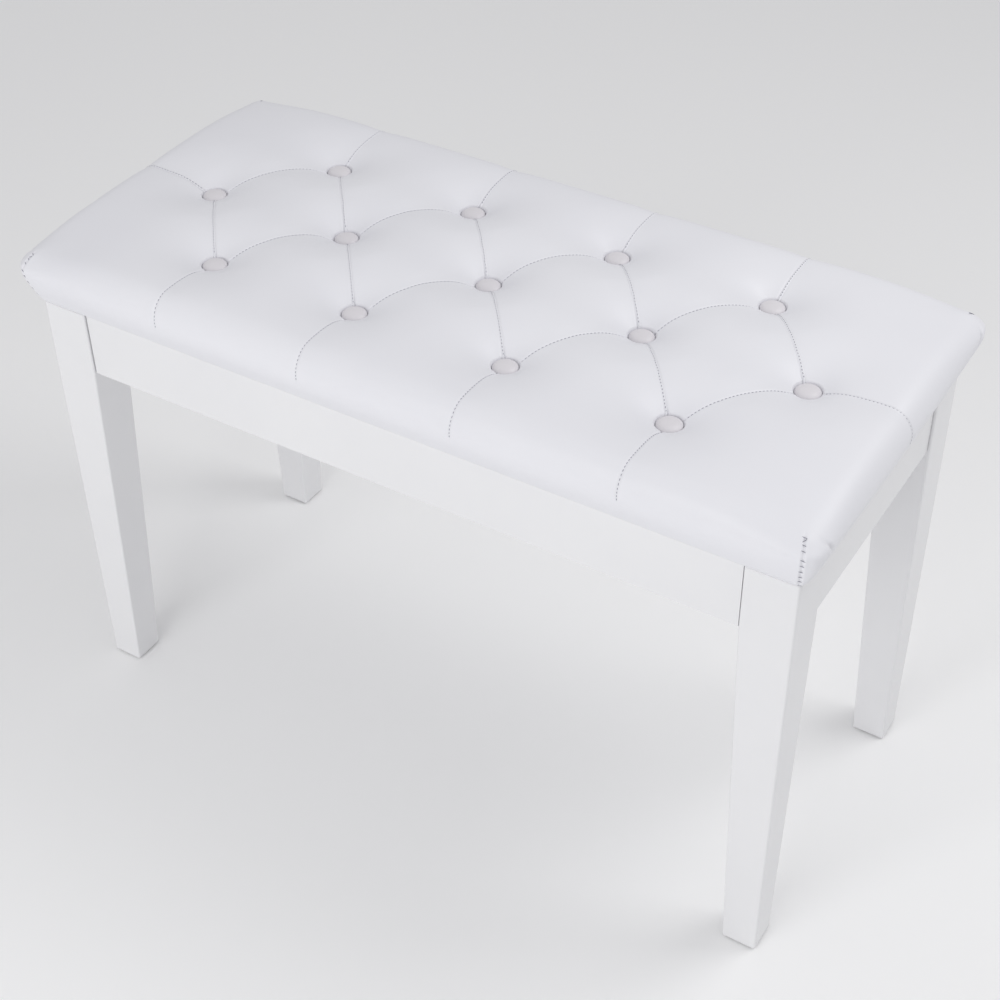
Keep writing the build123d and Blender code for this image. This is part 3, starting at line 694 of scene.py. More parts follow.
    def tufted(self, at: np.ndarray) -> np.ndarray:
        """Pull the rounded form down at the buttons and along the seams.

        Args:
            at: Points of the rounded form.

        Returns:
            The tufted points.
        """
        out = at.copy()
        upper = smoothstep(at[:, 2], self.low.z + self.widest_up, self.high.z - self.edge_drop - 4 * MM)
        out[:, 2] += self.crown(at) * upper
        to_button = self.button_distance(at)
        to_seam, _, _ = self.seam_distance(at)
        pull = np.exp(-((np.maximum(to_button - self.button_bed, 0) / self.dimple_reach) ** 1.15)) * upper
        floor = self.buttons[0].z + self.bed_height
        crease = np.exp(-((to_seam / self.valley_width) ** 1.3)) * upper
        edge = np.minimum(self.half.x - np.abs(at[:, 0]), self.half.y - np.abs(at[:, 1]))
        fade = 0.35 + 0.65 * smoothstep(edge, 0, self.valley_fade)
        out[:, 2] -= self.valley * crease * (1 - pull) * fade
        out[:, 2] += (floor - out[:, 2]) * pull
        return out

    def inflate(self, piece: bpy.types.Object, pins: np.ndarray, cap: float) -> None:
        """Blow the cover up against its buttons and seams with a cloth simulation.

        Args:
            piece: The cover, tufted.
            pins: How firmly each vertex is held, from zero to one.
            cap: The furthest that a vertex may move, in metres.
        """
        held = piece.vertex_groups.new(name="held")
        for level in np.unique(np.round(pins, 2)):
            if level > 0:
                held.add(np.nonzero(np.round(pins, 2) == level)[0].tolist(), float(level), "REPLACE")
        cloth = piece.modifiers.new("cloth", "CLOTH")
        cloth.settings.quality = 6
        cloth.settings.mass = 0.25
        cloth.settings.tension_stiffness = 25
        cloth.settings.compression_stiffness = 25
        cloth.settings.shear_stiffness = 15
        cloth.settings.bending_stiffness = 4
        cloth.settings.vertex_group_mass = "held"
        cloth.settings.pin_stiffness = 1.0
        cloth.settings.use_pressure = True
        cloth.settings.uniform_pressure_force = 4.0
        cloth.settings.effector_weights.gravity = 0
        cloth.collision_settings.use_collision = False
        start = corners(piece.data)
        scene = bpy.context.scene
        for number in range(1, CLOTH_FRAMES + 1):
            scene.frame_set(number)
        applied(piece)
        scene.frame_set(1)
        moved = corners(piece.data) - start
        far = np.linalg.norm(moved, axis=1, keepdims=True)
        moved *= np.minimum(1, cap / np.maximum(far, 1e-9))
        piece.data.vertices.foreach_set("co", (start + moved).astype(np.float32).ravel())
        piece.vertex_groups.clear()
        log.info("cover inflated, furthest move %.1f mm", far.max() / MM)

    def cut_seams(self, bm: bmesh.types.BMesh) -> None:
        """Cut mesh edges along and beside each seam and each corner dart, for sharp grooves."""
        faces = list(bm.faces)
        middles = np.array([f.calc_center_median() for f in faces])
        lines = [
            (seam.start, seam.along, 0.0, math.inf if seam.over_edge else seam.length, 18 * MM)
            for seam in self.seams
        ]
        lines += [(tip, inward, -math.inf, self.dart_reach, 0.5 * MM) for tip, inward in self.darts()]
        for start, along, first, last, above in lines:
            across = Vector((-along.y, along.x))
            rel = middles[:, :2] - np.array(start)
            t = rel @ np.array(along)
            near = (np.abs(rel @ np.array(across)) < SEAM_BAND) & (t > first) & (t < last)
            near &= middles[:, 2] > self.low.z + above
            chosen = {faces[k] for k in np.nonzero(near)[0] if faces[k].is_valid}
            fresh = self._cut_lanes(bm, list(chosen), start, across)
            faces += fresh
            middles = np.vstack((middles, [f.calc_center_median() for f in fresh]))

    def _cut_lanes(
        self, bm: bmesh.types.BMesh, faces: list[bmesh.types.BMFace], on: Vector, across: Vector
    ) -> list[bmesh.types.BMFace]:
        """Cut a few faces along lines beside one seam.

        Args:
            bm: The cover.
            faces: The faces near the seam.
            on: A plan point of the seam.
            across: Unit plan direction square to it.

        Returns:
            The faces that are there after the cuts.
        """
        geom = faces + list({e for f in faces for e in f.edges}) + list({v for f in faces for v in f.verts})
        for lane in LANES_MM:
            point = on + across * lane * MM
            cut = bmesh.ops.bisect_plane(
                bm, geom=geom, dist=0.1 * MM, plane_co=(*point, 0), plane_no=(*across, 0)
            )
            geom = cut["geom"]
        return [g for g in geom if isinstance(g, bmesh.types.BMFace)]

    def darts(self) -> list[tuple[Vector, Vector]]:
        """Plan point of each corner dart, at the lower edge, and its inward direction.

        The darts lean over to the long sides: they leave the corner's tip and cross the widest
        line a little way along the front or the back.
        """
        tip = self.half - Vector(self.dart_inset)
        lean = Vector((math.sin(math.radians(self.dart_lean)), math.cos(math.radians(self.dart_lean))))
        return [
            (Vector((sx * tip.x, sy * tip.y)), Vector((-sx * lean.x, -sy * lean.y)))
            for sx in (-1, 1)
            for sy in (-1, 1)
        ]

    def dart_depth(self, at: np.ndarray) -> np.ndarray:
        """How far each point is drawn in by the corner darts."""
        depth = np.zeros(len(at))
        for corner, inward in self.darts():
            rel = at[:, :2] - np.array(corner)
            s = rel @ np.array((-inward.y, inward.x))
            t = rel @ np.array(inward)
            shown = 1 - smoothstep(t, self.dart_reach - 6 * MM, self.dart_reach)
            shown *= at[:, 2] > self.low.z + 0.3 * MM
            groove = 0.8 * MM * bell(s, 0.8 * MM)
            swell = 0.4 * MM * bell(np.abs(s) - 2.4 * MM, 1.4 * MM)
            depth += (groove - swell) * shown
        return depth

    def _refine(self, bm: bmesh.types.BMesh, near: np.ndarray) -> None:
        """Split each chosen face of the cover in four."""
        faces = [f for f, chosen in zip(bm.faces, near) if chosen]
        edges = list({e for f in faces for e in f.edges})
        bmesh.ops.subdivide_edges(bm, edges=edges, cuts=1, use_grid_fill=True, smooth=0.0)

    def fold_corners(self, bm: bmesh.types.BMesh) -> None:
        """Pleat the cover where it is turned in under the board's corners, and pinch its ends there."""
        underside = self.low.z + 0.6 * MM
        middles = np.array([f.calc_center_median() for f in bm.faces])
        inset = np.max(np.array(self.half) - np.abs(middles[:, :2]), axis=1)
        under = middles[:, 2] < underside
        end = (np.abs(middles[:, 0]) > self.half.x - 8 * MM) & (inset < 42 * MM) & ~under
        self._refine(bm, (under & (inset < 62 * MM)) | end)
        at = np.array([v.co for v in bm.verts])
        at[:, 2] -= self._pleats(at, at[:, 2] < underside)
        ends = np.abs(at[:, 0]) > self.half.x - 9 * MM
        at[ends, 0] -= (np.sign(at[:, 0]) * self._pinch(at))[ends]
        for vert, co in zip(bm.verts, at):
            vert.co = co

    def _pleats(self, at: np.ndarray, under: np.ndarray) -> np.ndarray:
        """How far each point hangs in the pleats that fan out round the board's corners.

        Args:
            at: Points of the cover.
            under: Which of them are on the underside.

        Returns:
            Drop of each point, in metres.
        """
        fan = np.abs(at[:, :2]) - (np.array(self.half) - 52 * MM)
        radius = np.hypot(fan[:, 0], fan[:, 1])
        angle = np.degrees(np.arctan2(fan[:, 1], fan[:, 0]))
        drop = np.zeros(len(at))
        for pleat in PLEAT_ANGLES:
            off = np.radians(angle - pleat) * radius
            fold = np.exp(-np.maximum(off, 0) / (3.5 * MM)) * np.exp(np.minimum(off, 0) / (0.5 * MM))
            drop = np.maximum(drop, 0.9 * MM * fold * smoothstep(radius, 10 * MM, 34 * MM))
        return drop * (under & (fan[:, 0] > 0) & (fan[:, 1] > 0))

    def _pinch(self, at: np.ndarray) -> np.ndarray:
        """How far each point of the ends is drawn in by the crease beside each corner."""
        y = np.abs(at[:, 1]) - (self.half.y - 25 * MM)
        z = at[:, 2] - (self.low.z + self.widest_up + 3 * MM)
        along = y * 0.5 + z * 0.87
        across = y * 0.87 - z * 0.5
        dent = 2.2 * MM * bell(along, 7 * MM) * bell(across, 1.6 * MM)
        swell = 0.9 * MM * bell(along, 9 * MM) * bell(across - 3.6 * MM, 2.4 * MM)
        return dent - swell

    def seat_buttons(self, bm: bmesh.types.BMesh) -> None:
        """Refine the cover round each button and let its rim sink in a narrow gap."""
        widest = self.low.z + self.widest_up
        for reach in (18 * MM, 15 * MM):
            middles = np.array([f.calc_center_median() for f in bm.faces])
            self._refine(bm, (self.button_distance(middles) < reach) & (middles[:, 2] > widest))
        at = np.array([v.co for v in bm.verts])
        distance = self.button_distance(at)
        floor = self.buttons[0].z + 0.3 * MM
        gap = (10.3 * MM, 12.4 * MM)
        rise = smoothstep(distance, *gap)
        bm.verts.ensure_lookup_table()
        for k in np.nonzero((at[:, 2] > widest) & (distance < gap[1]))[0]:
            bm.verts[k].co.z = floor + (at[k, 2] - floor) * rise[k]

    def sew(self, piece: bpy.types.Object) -> None:
        """Sink the buttons' rims, the grooves of the seams and the corner darts into the cover."""
        bm = bmesh.new()
        bm.from_mesh(piece.data)
        self.seat_buttons(bm)
        self.fold_corners(bm)
        log.info("buttons seated and corners folded")
        self.cut_seams(bm)
        log.info("seams cut")
        bm.normal_update()
        at = np.array([v.co for v in bm.verts])
        depth = self._sewn_depth(at) + self.dart_depth(at)
        bm.verts.ensure_lookup_table()
        for k in np.nonzero(np.abs(depth) > 1e-6)[0]:
            bm.verts[k].co -= bm.verts[k].normal * float(depth[k])
        bm.to_mesh(piece.data)
        bm.free()

    def _sewn_depth(self, at: np.ndarray) -> np.ndarray:
        """How far each point is drawn in by the seams.

        A topstitched seam is one narrow groove. A folded one is a fine ridge between two grooves,
        the far one deeper than the near one. Both are drawn tighter close to a button.

        Args:
            at: Points of the cover.

        Returns:
            Depth of each point below the cover, in metres.
        """
        to_seam, side, folded = self.seam_distance(at)
        to_button = self.button_distance(at)
        shown = smoothstep(at[:, 2], self.low.z + 24 * MM, self.low.z + 32 * MM)
        shown *= smoothstep(to_button, self.button_bed, 12 * MM)
        tug = 1 + 1.4 * np.exp(-np.maximum(to_button - 11 * MM, 0) / (5 * MM))
        stitched = 0.8 * bell(to_seam, 0.9 * MM)
        grooves = bell(to_seam - 1.2 * MM, 0.55 * MM)
        pleat = grooves * (0.5 + 0.2 * side) - 0.35 * bell(to_seam, 0.6 * MM)
        return self.groove * tug * shown * np.where(folded, pleat, stitched)

    def cover(self) -> bpy.types.Object:
        """Make the cover, from box to sewn cushion."""
        bm = self.blank()
        box = np.array([v.co for v in bm.verts])
        shaped = self.tufted(self.rounded(box))
        for vert, co in zip(bm.verts, shaped):
            vert.co = co
        piece = piece_from(bm, "seat_cushion_cover", LEATHERETTE)
        to_button = self.button_distance(shaped)
        to_seam, _, _ = self.seam_distance(shaped)
        top = shaped[:, 2] > self.low.z + self.widest_up
        stapled = shaped[:, 2] < self.low.z + 9 * MM
        tied = top & (to_button < 11 * MM)
        stitched = top & (to_seam < 4 * MM)
        pins = np.where(stapled | tied, 1.0, np.where(stitched, 0.25, 0.0))
        self.inflate(piece, pins, self.swell_cap)
        smoother = piece.modifiers.new("skin", "SUBSURF")
        smoother.levels = smoother.render_levels = 1
        applied(piece)
        log.info("cover ready to sew: %d faces", len(piece.data.polygons))
        self.sew(piece)
        piece.data.polygons.foreach_set("use_smooth", [True] * len(piece.data.polygons))
        log.info("cover sewn: %d faces", len(piece.data.polygons))
        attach(piece, LID)
        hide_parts("seat_cover", "seat_foam")
        return piece

    def stitches(self, cover: bpy.types.Object) -> list[bpy.types.Object]:
        """Lay a lock stitch along every seam and a whip stitch up every corner dart."""
        tree = self._tree(cover)
        bm = bmesh.new()
        for seam in self.seams:
            lift = -0.22 * MM if seam.style is SeamStyle.FOLDED else 0.1 * MM
            for here, there, normal in self._route(tree, seam, self.stitch_pitch):
                shorter = (there - here) * 0.2
                self._bar(bm, here + shorter, there - shorter, normal, self.thread, lift)
        # The lock thread's grey is painted shade, standing in for the shadow in the needle holes.
        lock = piece_from(bm, "seam_stitches", THREAD)
        bm = bmesh.new()
        for corner, inward in self.darts():
            self._whip(bm, tree, corner, inward)
        # The whip thread's grey is painted shade, standing in for the shadow in the stitch holes.
        whip = piece_from(bm, "corner_whip_stitches", WHIP_THREAD_PAINTED_SHADE)
        for piece in (lock, whip):
            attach(piece, LID)
        return [lock, whip]

    def _whip(self, bm: bmesh.types.BMesh, tree: BVHTree, corner: Vector, inward: Vector) -> None:
        """Sew one corner dart with short slanting stitches from the shoulder to the lower edge.

        Args:
            bm: The mesh to add to.
            tree: The cover's faces.
            corner: Plan point of the corner.
            inward: Plan direction towards the middle.
        """
        across = Vector((-inward.y, inward.x, 0))
        top = self.high.z - self.edge_drop
        shoulder = [(15.0, tilt) for tilt in (42, 28, 14)]
        side = [(down, 0) for down in (15.0, 20.5, 26.0, 33.0, 40.5, 47.5)]
        for number, (down, tilt) in enumerate(shoulder + side):
            aim = Vector((*inward, 0)) * math.cos(math.radians(tilt))
            aim.z = -math.sin(math.radians(tilt))
            pivot = Vector((*(corner + inward * 2 * MM), top - down * MM))
            hit, normal, _, _ = tree.ray_cast(pivot - aim * CLEAR, aim)
            if not hit:
                continue
            slant = 0.8 if tilt and number % 2 else -0.35
            lean = (across + normal.cross(across).normalized() * slant).normalized()
            reach = 2.5 * MM
            self._bar(bm, hit - lean * reach, hit + lean * reach, normal, 0.3 * MM, 0.95 * MM)

    def _tree(self, cover: bpy.types.Object) -> BVHTree:
        """A search tree over the cover's faces."""
        bm = bmesh.new()
        bm.from_mesh(cover.data)
        tree = BVHTree.FromBMesh(bm)
        bm.free()
        return tree

    def _route(self, tree: BVHTree, seam: Seam, pitch: float) -> list[tuple[Vector, Vector, Vector]]:
        """Ends and outward normal of each stitch of a seam.

        Args:
            tree: The cover's faces.
            seam: The seam to follow.
            pitch: Stitch pitch along the surface.

        Returns:
            Start point, end point and surface normal of every stitch.
        """
        points = []
        fine = 0.4 * MM
        first = 11.5 * MM
        reach = seam.length if seam.over_edge else seam.length - first
        for i in range(int((reach - first) / fine)):
            plan = seam.start + seam.along * (first + i * fine)
            hit, normal, _, _ = tree.ray_cast(Vector((*plan, self.high.z + CLEAR)), Vector((0, 0, -1)))
            if hit and normal.z > 0.25:
                points.append((hit, normal))
        if seam.over_edge:
            out = Vector((*seam.along, 0))
            top = points[-1][0].z
            for i in range(int((top - self.low.z - 26 * MM) / fine)):
                start = Vector((*(seam.start + seam.along * (seam.length + CLEAR)), top - i * fine))
                hit, normal, _, _ = tree.ray_cast(start, -out)
                if hit:
                    points.append((hit, normal))
        run, marks = 0.0, [points[0]]
        for a, b in zip(points, points[1:]):
            run += (b[0] - a[0]).length
            if run >= pitch:
                marks.append(b)
                run = 0.0
        return [(a[0], b[0], (a[1] + b[1]).normalized()) for a, b in zip(marks, marks[1:])]

    def _bar(
        self, bm: bmesh.types.BMesh, here: Vector, there: Vector, normal: Vector, radius: float, lift: float
    ) -> None:
        """Add one thread stitch, a small rounded bar.

        Args:
            bm: The mesh to add to.
            here: Where it comes up.
            there: Where it goes down.
            normal: The surface's outward direction.
            radius: The thread's radius.
            lift: Height of its middle above the surface.
        """
        along = (there - here).normalized()
        across = normal.cross(along).normalized()
        out = along.cross(across)
        length = (there - here).length
        shape = Matrix.Diagonal((radius, radius, length / 2, 1.0))
        turn = Matrix((across, out, along)).transposed().to_4x4()
        if turn.determinant() < 0:
            turn = Matrix((-across, out, along)).transposed().to_4x4()
        middle = (here + there) / 2 + normal * lift
        bar = self._bead().copy()
        bar.transform(Matrix.Translation(middle) @ turn @ shape)
        bm.from_mesh(bar)
        bpy.data.meshes.remove(bar)

    def _bead(self) -> bpy.types.Mesh:
        """The small round bead that every stitch is drawn out of."""
        made = bpy.data.meshes.get("stitch_bead")
        if not made:
            made = bpy.data.meshes.new("stitch_bead")
            bead = bmesh.new()
            bmesh.ops.create_uvsphere(bead, u_segments=6, v_segments=5, radius=1.0)
            bead.to_mesh(made)
            bead.free()
        return made

    def button_pieces(self) -> list[bpy.types.Object]:
        """Make the covered buttons: a domed face, a rolled rim and a flat back."""
        pieces = []
        for number, base in enumerate(self.buttons, start=1):
            node = f"button_{number:02d}"
            low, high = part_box(node)
            radius = (high.x - low.x) / 2
            rise = high.z - low.z
            bm = bmesh.new()
            outline = [(0.0, 0.0), (0.80, 0.0), (0.93, 0.10), (1.0, 0.30), (0.985, 0.46), (0.93, 0.60)]
            dome = np.linspace(0.22, math.pi / 2, 7)
            outline += [(0.84 * math.cos(a), 0.66 + 0.34 * math.sin(a)) for a in dome]
            verts = [bm.verts.new((base.x + x * radius, base.y, low.z + z * rise)) for x, z in outline]
            lines = [bm.edges.new(pair) for pair in zip(verts, verts[1:])]
            bmesh.ops.spin(
                bm, geom=verts + lines, cent=(base.x, base.y, 0), axis=(0, 0, 1),
                angle=math.tau, steps=40, use_merge=True,
            )
            bmesh.ops.remove_doubles(bm, verts=bm.verts, dist=0.01 * MM)
            bmesh.ops.recalc_face_normals(bm, faces=bm.faces)
            piece = piece_from(bm, f"tuft_{node}", BUTTON_SKIN)
            smoother = piece.modifiers.new("skin", "SUBSURF")
            smoother.levels = smoother.render_levels = 1
            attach(piece, LID)
            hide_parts(node)
            pieces.append(piece)
        return pieces


# ----------------------------------------------------------------- underside


@dataclass(frozen=True)
class DustCloth:
    """The black cloth stapled over the opening in the seat's underside.

    Attributes:
        thickness: Thickness of the cloth.
        sag: How far its middle hangs.
        staple_step: Distance between the staples along its edges.
        scallop: How far its edge draws in between two staples.
        hem: Width of the edge that is turned under.
    """

    thickness: float = 0.35 * MM
    sag: float = 1.6 * MM
    staple_step: float = 36 * MM
    scallop: float = 0.9 * MM
    hem: float = 9 * MM

    def build(self) -> bpy.types.Object:
        """Make the cloth as one thin sheet, drawn tight at each staple."""
        low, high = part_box("dust_cover")
        half = ((high.x - low.x) / 2, (high.y - low.y) / 2)
        bm = bmesh.new()
        bmesh.ops.create_grid(bm, x_segments=108, y_segments=40, size=1.0)
        for vert in bm.verts:
            u, v = vert.co.x, vert.co.y
            x, y = u * half[0], v * half[1]
            wave_x = 0.5 - 0.5 * math.cos(math.tau * x / self.staple_step + math.pi)
            wave_y = 0.5 - 0.5 * math.cos(math.tau * y / self.staple_step + math.pi)
            y -= math.copysign(self.scallop * wave_x * abs(v) ** 6, v) if v else 0.0
            x -= math.copysign(self.scallop * wave_y * abs(u) ** 20, u) if u else 0.0
            hang = self.sag * (1 - u**4) * (1 - v**4)
            pucker = 0.35 * MM * (wave_x * abs(v) ** 5 + wave_y * abs(u) ** 12)
            inset = min(half[0] - abs(x), half[1] - abs(y))
            step = 0.3 * MM if inset < self.hem else 0.0
            vert.co = (x, y, low.z - hang - pucker - step + self.thickness)
        piece = piece_from(bm, "dust_cloth", DUST_CLOTH)
        body = piece.modifiers.new("thickness", "SOLIDIFY")
        body.thickness = self.thickness
        body.offset = 0.0
        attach(piece, LID)
        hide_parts("dust_cover")
        return piece


# ----------------------------------------------------------------- fasteners


class HeadShape(Enum):
    """How a screw's head is formed."""

    PAN = "rounded and standing on the surface"
    COUNTERSUNK = "flush with the surface"


class Facing(Enum):
    """Which way the heads of a set of screws face."""

    MIDDLE = "towards the middle of the bench"
    REAR = "to the rear"
    DOWN = "downwards"


@dataclass(frozen=True)
class CrossScrews:
    """A set of cross-recessed wood screws, one for each solid of a CAD node.

    Attributes:
        node: The node that they take the place of.
        body: The body that they ride on.
        shape: How the heads are formed.
        facing: Which way the heads face.
        head: Radius of the head.
        shank: Radius of the shank.
        finish: What they are made of.
    """

    node: str
    body: str
    shape: HeadShape
    facing: Facing
    head: float
    shank: float
    finish: Finish

    def outward(self, low: Vector, high: Vector) -> Vector:
        """Direction that a screw's head faces, from the box of its solid."""
        if self.facing is Facing.REAR:
            return Vector((0, 1, 0))
        if self.facing is Facing.DOWN:
            return Vector((0, 0, -1))
        size = high - low
        middle = (low + high) / 2
        if size.x > size.y:
            return Vector((-math.copysign(1, middle.x), 0, 0))
        return Vector((0, -math.copysign(1, middle.y), 0))

    def rings(self, length: float) -> list[tuple[float, float]]:
        """Radius and height of each ring from the head's rim down to the tip.

        Args:
            length: The screw's length from the head's top to its tip.

        Returns:
            Radii and heights, with height zero at the head's top.
        """
        r, s = self.head, self.shank
        if self.shape is HeadShape.PAN:
            dome = [(0.62 * r, 0.0), (0.84 * r, -0.12 * r), (0.97 * r, -0.30 * r)]
            head = dome + [(r, -0.52 * r), (s, -0.52 * r)]
        else:
            head = [(0.93 * r, 0.0), (r, -0.05 * r), (s, r * -0.05 - (r - s))]
        return head + [(s, 3 * s - length), (0.35 * s, -length)]

    def pattern(self, length: float) -> bpy.types.Mesh:
        """One screw standing on the origin with its head up."""
        bm = bmesh.new()
        rings = self.rings(length)
        rim = bmesh.ops.create_circle(bm, cap_ends=False, segments=24, radius=rings[0][0])
        edges = list({e for v in rim["verts"] for e in v.link_edges})
        wide, narrow = 0.5 * self.head, 0.13 * self.head
        quarter = [(wide, -narrow), (wide, narrow), (narrow, narrow)]
        outline = [
            Matrix.Rotation(turn * math.pi / 2, 2) @ Vector(point) for turn in range(4) for point in quarter
        ]
        cross = [bm.verts.new((*point, 0)) for point in outline]
        slot = [bm.edges.new(pair) for pair in zip(cross, cross[1:] + cross[:1])]
        bmesh.ops.triangle_fill(bm, edges=edges + slot, use_beauty=True)
        self._draw_down(bm, slot, [(1.0, 0.0), (0.62, -0.42 * self.head)])
        self._draw_down(bm, edges, [(r / rings[0][0], z) for r, z in rings])
        bmesh.ops.recalc_face_normals(bm, faces=bm.faces)
        mesh = bpy.data.meshes.new(f"{self.node}_pattern")
        bm.to_mesh(mesh)
        bm.free()
        return mesh

    def _draw_down(
        self, bm: bmesh.types.BMesh, edges: list[bmesh.types.BMEdge], steps: list[tuple[float, float]]
    ) -> None:
        """Extrude a loop of edges through steps of scale and height, and close the last one."""
        for (before, top), (after, bottom) in zip(steps, steps[1:]):
            drawn = bmesh.ops.extrude_edge_only(bm, edges=edges)["geom"]
            verts = [g for g in drawn if isinstance(g, bmesh.types.BMVert)]
            edges = [g for g in drawn if isinstance(g, bmesh.types.BMEdge) and set(g.verts) <= set(verts)]
            bmesh.ops.scale(bm, vec=(after / before, after / before, 1), verts=verts)
            bmesh.ops.translate(bm, vec=(0, 0, bottom - top), verts=verts)
        bmesh.ops.edgeloop_fill(bm, edges=edges)

    def build(self) -> bpy.types.Object:
        """Make every screw of the set as one piece."""
        bm = bmesh.new()
        pattern = None
        for number, (low, high) in enumerate(islands(self.node)):
            out = self.outward(low, high)
            middle = (low + high) / 2
            length = abs((high - low).dot(out))
            if pattern is None:
                pattern = self.pattern(length)
            start = len(bm.verts)
            bm.from_mesh(pattern)
            bm.verts.ensure_lookup_table()
            turn = Matrix.Rotation(0.7 * number, 4, "Z")
            stand = out.to_track_quat("Z", "Y").to_matrix().to_4x4()
            place = Matrix.Translation(middle + out * length / 2) @ stand @ turn
            bmesh.ops.transform(bm, matrix=place, verts=bm.verts[start:])
        piece = piece_from(bm, f"cross_{self.node}", self.finish, smooth=False)
        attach(piece, self.body)
        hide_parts(self.node)
        return piece


SCREWS = (
    CrossScrews("block_screws", FRAME, HeadShape.PAN, Facing.MIDDLE, 3.8 * MM, 2.0 * MM, ZINC_PLATE),
    CrossScrews(
        "hinge_screws_frame", FRAME, HeadShape.COUNTERSUNK, Facing.REAR, 3.2 * MM, 1.7 * MM, HINGE_PLATE
    ),
    CrossScrews(
        "hinge_screws_lid", LID, HeadShape.COUNTERSUNK, Facing.DOWN, 3.2 * MM, 1.7 * MM, HINGE_PLATE
    ),
    CrossScrews(
        "stay_plate_screws", FRAME, HeadShape.COUNTERSUNK, Facing.MIDDLE, 3.2 * MM, 1.7 * MM, ZINC_PLATE
    ),
    CrossScrews(
        "stay_track_screws", LID, HeadShape.COUNTERSUNK, Facing.DOWN, 2.5 * MM, 1.6 * MM, ZINC_PLATE
    ),
)


@dataclass(frozen=True)
class LegBolts:
    """Hanger bolts of the legs, threaded where they come through the corner blocks.

    Attributes:
        radius: Outer radius of the thread.
        pitch: Thread pitch.
        threaded: Threaded length at the open end.
    """

    radius: float = 3 * MM
    pitch: float = 1 * MM
    threaded: float = 13 * MM

    def build(self) -> bpy.types.Object:
        """Make the bolts as one piece."""
        bm = bmesh.new()
        for low, high in islands("leg_bolts"):
            middle = (low + high) / 2
            inward = Vector((-math.copysign(1, middle.x), -math.copysign(1, middle.y), 0)).normalized()
            length = (high.x - low.x) * math.sqrt(2) - 2 * self.radius
            root = self.radius - 0.6 * self.pitch
            outline = [(0.0, -length / 2), (root, -length / 2), (root, length / 2 - self.threaded)]
            for turn in range(int(self.threaded / self.pitch) - 1):
                at = length / 2 - self.threaded + turn * self.pitch
                outline += [(self.radius, at + 0.4 * self.pitch), (self.radius, at + 0.5 * self.pitch)]
                outline += [(root, at + 0.95 * self.pitch)]
            outline += [(0.8 * root, length / 2), (0.0, length / 2)]
            verts = [bm.verts.new((r, 0, z)) for r, z in outline]
            lines = [bm.edges.new(pair) for pair in zip(verts, verts[1:])]
            bmesh.ops.spin(
                bm, geom=verts + lines, cent=(0, 0, 0), axis=(0, 0, 1),
                angle=math.tau, steps=16, use_merge=True,
            )
            new = [v for v in bm.verts if abs(v.co.x) < 2 * self.radius and abs(v.co.y) < 2 * self.radius]
            stand = inward.to_track_quat("Z", "Y").to_matrix().to_4x4()
            bmesh.ops.transform(bm, matrix=Matrix.Translation(middle) @ stand, verts=new)
        bmesh.ops.remove_doubles(bm, verts=bm.verts, dist=0.002 * MM)
        bmesh.ops.recalc_face_normals(bm, faces=bm.faces)
        piece = piece_from(bm, "threaded_leg_bolts", ZINC_PLATE, smooth=False)
        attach(piece, FRAME)
        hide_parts("leg_bolts")
        return piece


# -------------------------------------------------------------------- studio


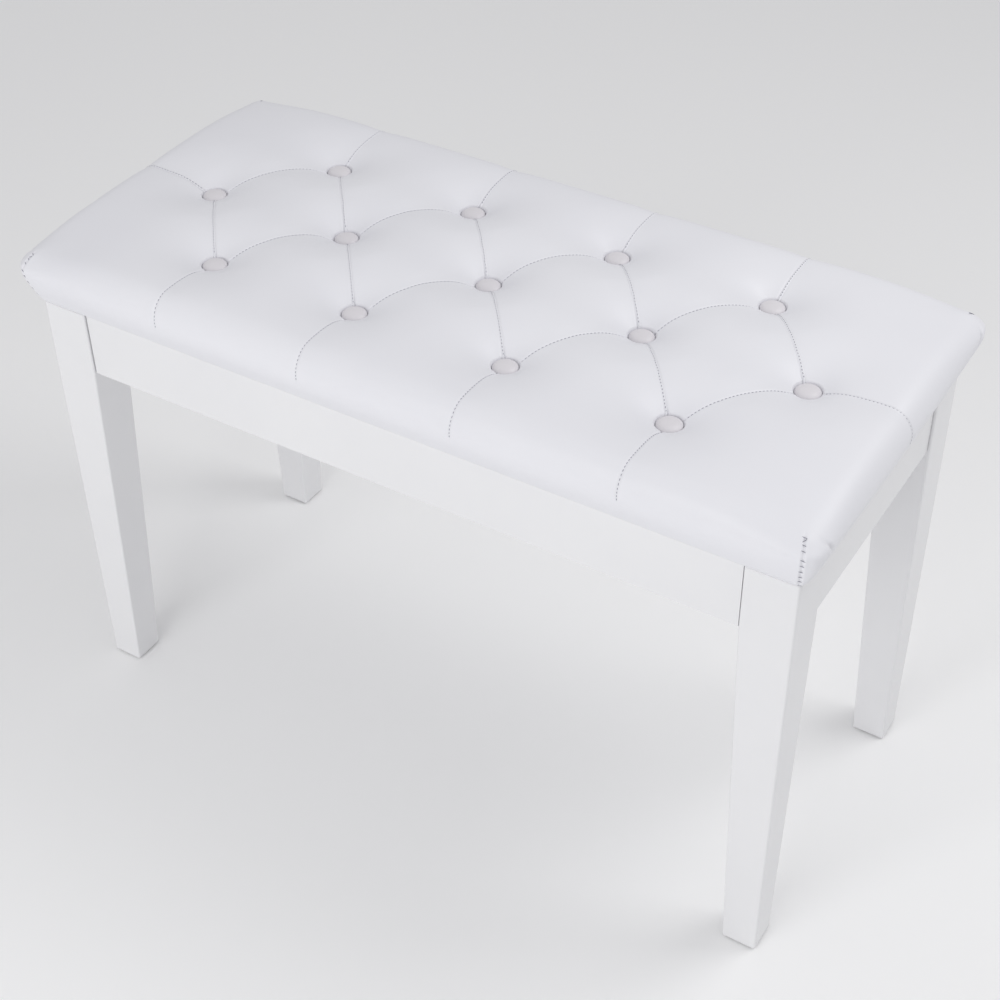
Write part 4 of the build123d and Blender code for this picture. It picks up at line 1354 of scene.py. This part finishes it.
@dataclass(frozen=True)
class Studio:
    """Camera, lights and floor.

    Attributes:
        azimuth: Degrees the camera stands round from the front, towards the right.
        elevation: Degrees it looks down.
        roll: Degrees it is turned about its own line of sight.
        place: Where it stands, in metres.
        lens: Focal length in millimetres on a 36 mm sensor.
    """

    azimuth: float = 32.234
    elevation: float = 39.972
    roll: float = -0.921
    place: tuple[float, float, float] = (0.6938, -1.0872, 1.3229)
    lens: float = 65.36

    def camera(self) -> None:
        """Stand the camera where it sees the bench's front, top and right end."""
        data = bpy.data.cameras.new("camera")
        data.lens = self.lens
        data.sensor_width = 36.0
        data.clip_start = 0.05
        camera = bpy.data.objects.new("camera", data)
        turn = (
            Matrix.Rotation(math.radians(self.azimuth), 4, "Z")
            @ Matrix.Rotation(math.radians(90 - self.elevation), 4, "X")
            @ Matrix.Rotation(math.radians(self.roll), 4, "Z")
        )
        camera.matrix_world = Matrix.Translation(self.place) @ turn
        bpy.context.scene.collection.objects.link(camera)
        bpy.context.scene.camera = camera

    def floor(self) -> None:
        """A pale floor that runs out past the view."""
        bm = bmesh.new()
        bmesh.ops.create_grid(bm, x_segments=2, y_segments=2, size=40.0)
        mesh = bpy.data.meshes.new("floor")
        bm.to_mesh(mesh)
        bm.free()
        paint = bpy.data.materials.new("pale_floor")
        paint.use_nodes = True
        shader = paint.node_tree.nodes["Principled BSDF"]
        shader.inputs["Base Color"].default_value = linear("#FAFAFA")
        shader.inputs["Roughness"].default_value = 0.9
        mesh.materials.append(paint)
        floor = bpy.data.objects.new("floor", mesh)
        bpy.context.scene.collection.objects.link(floor)

    def softbox(self, name: str, place: Vector, size: float, power: float, aim: Vector) -> None:
        """Add one square soft light.

        Args:
            name: The light's name.
            place: Where it hangs.
            size: Its side in metres.
            power: Its power in watts.
            aim: The point that it faces.
        """
        data = bpy.data.lights.new(name, "AREA")
        data.shape = "SQUARE"
        data.size = size
        data.energy = power
        light = bpy.data.objects.new(name, data)
        light.location = place
        light.rotation_euler = (aim - place).to_track_quat("-Z", "Y").to_euler()
        bpy.context.scene.collection.objects.link(light)

    def light(self) -> None:
        """Bright even surroundings, a large key light in front and a small one over the rear right."""
        world = bpy.data.worlds.new("studio")
        world.use_nodes = True
        backdrop = world.node_tree.nodes["Background"]
        backdrop.inputs["Color"].default_value = linear("#FCFCFE")
        backdrop.inputs["Strength"].default_value = 0.6
        bpy.context.scene.world = world
        seat = Vector((0, 0, 0.4))
        self.softbox("key", Vector((-0.1, -2.2, 1.2)), 1.5, 17, seat)
        self.softbox("rear", Vector((0.9, 0.55, 1.65)), 0.8, 7.2, seat)
        bpy.context.scene.view_settings.view_transform = "Standard"


# ---------------------------------------------------------------------- main


def dress() -> None:
    """Give each CAD node its finish, by material slot."""
    finishes = {
        finish.slot: finish
        for finish in (
            LACQUER, LEATHERETTE, PANEL_PAINT, BLOCK_WOOD, PLYWOOD, SEAT_FOAM, DUST_CLOTH, TWINE,
            FOOT_PLASTIC, BUMPER_RUBBER, HINGE_PLATE, ZINC_PLATE,
        )
    }
    slots = {s["node"]: s["material_slot"] for s in frame["record"]["subparts"]}
    for name, node in frame["nodes"].items():
        finish = finishes[slots[name]]
        for slot in node.material_slots:
            slot.material = finish.material()


def button_bases() -> list[Vector]:
    """Underside centre of each button, in the order of the nodes."""
    boxes = [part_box(name) for name in sorted(frame["nodes"]) if re.fullmatch(r"button_\d\d", name)]
    return [Vector(((low.x + high.x) / 2, (low.y + high.y) / 2, low.z)) for low, high in boxes]


def main() -> None:
    """Build the bench's looks in order."""
    logging.basicConfig(level=logging.INFO, format="%(relativeCreated)6d ms %(name)s: %(message)s")
    studio = Studio()
    studio.camera()
    studio.floor()
    studio.light()
    dress()
    seat = TuftedSeat(*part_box("seat_cover"), button_bases())
    cover = seat.cover()
    pieces = [cover, *seat.stitches(cover), *seat.button_pieces(), DustCloth().build()]
    pieces += [screws.build() for screws in SCREWS]
    pieces.append(LegBolts().build())
    for piece in pieces:
        log.info("%s: %d faces", piece.name, len(piece.data.polygons))


if __name__ == "__main__":
    main()
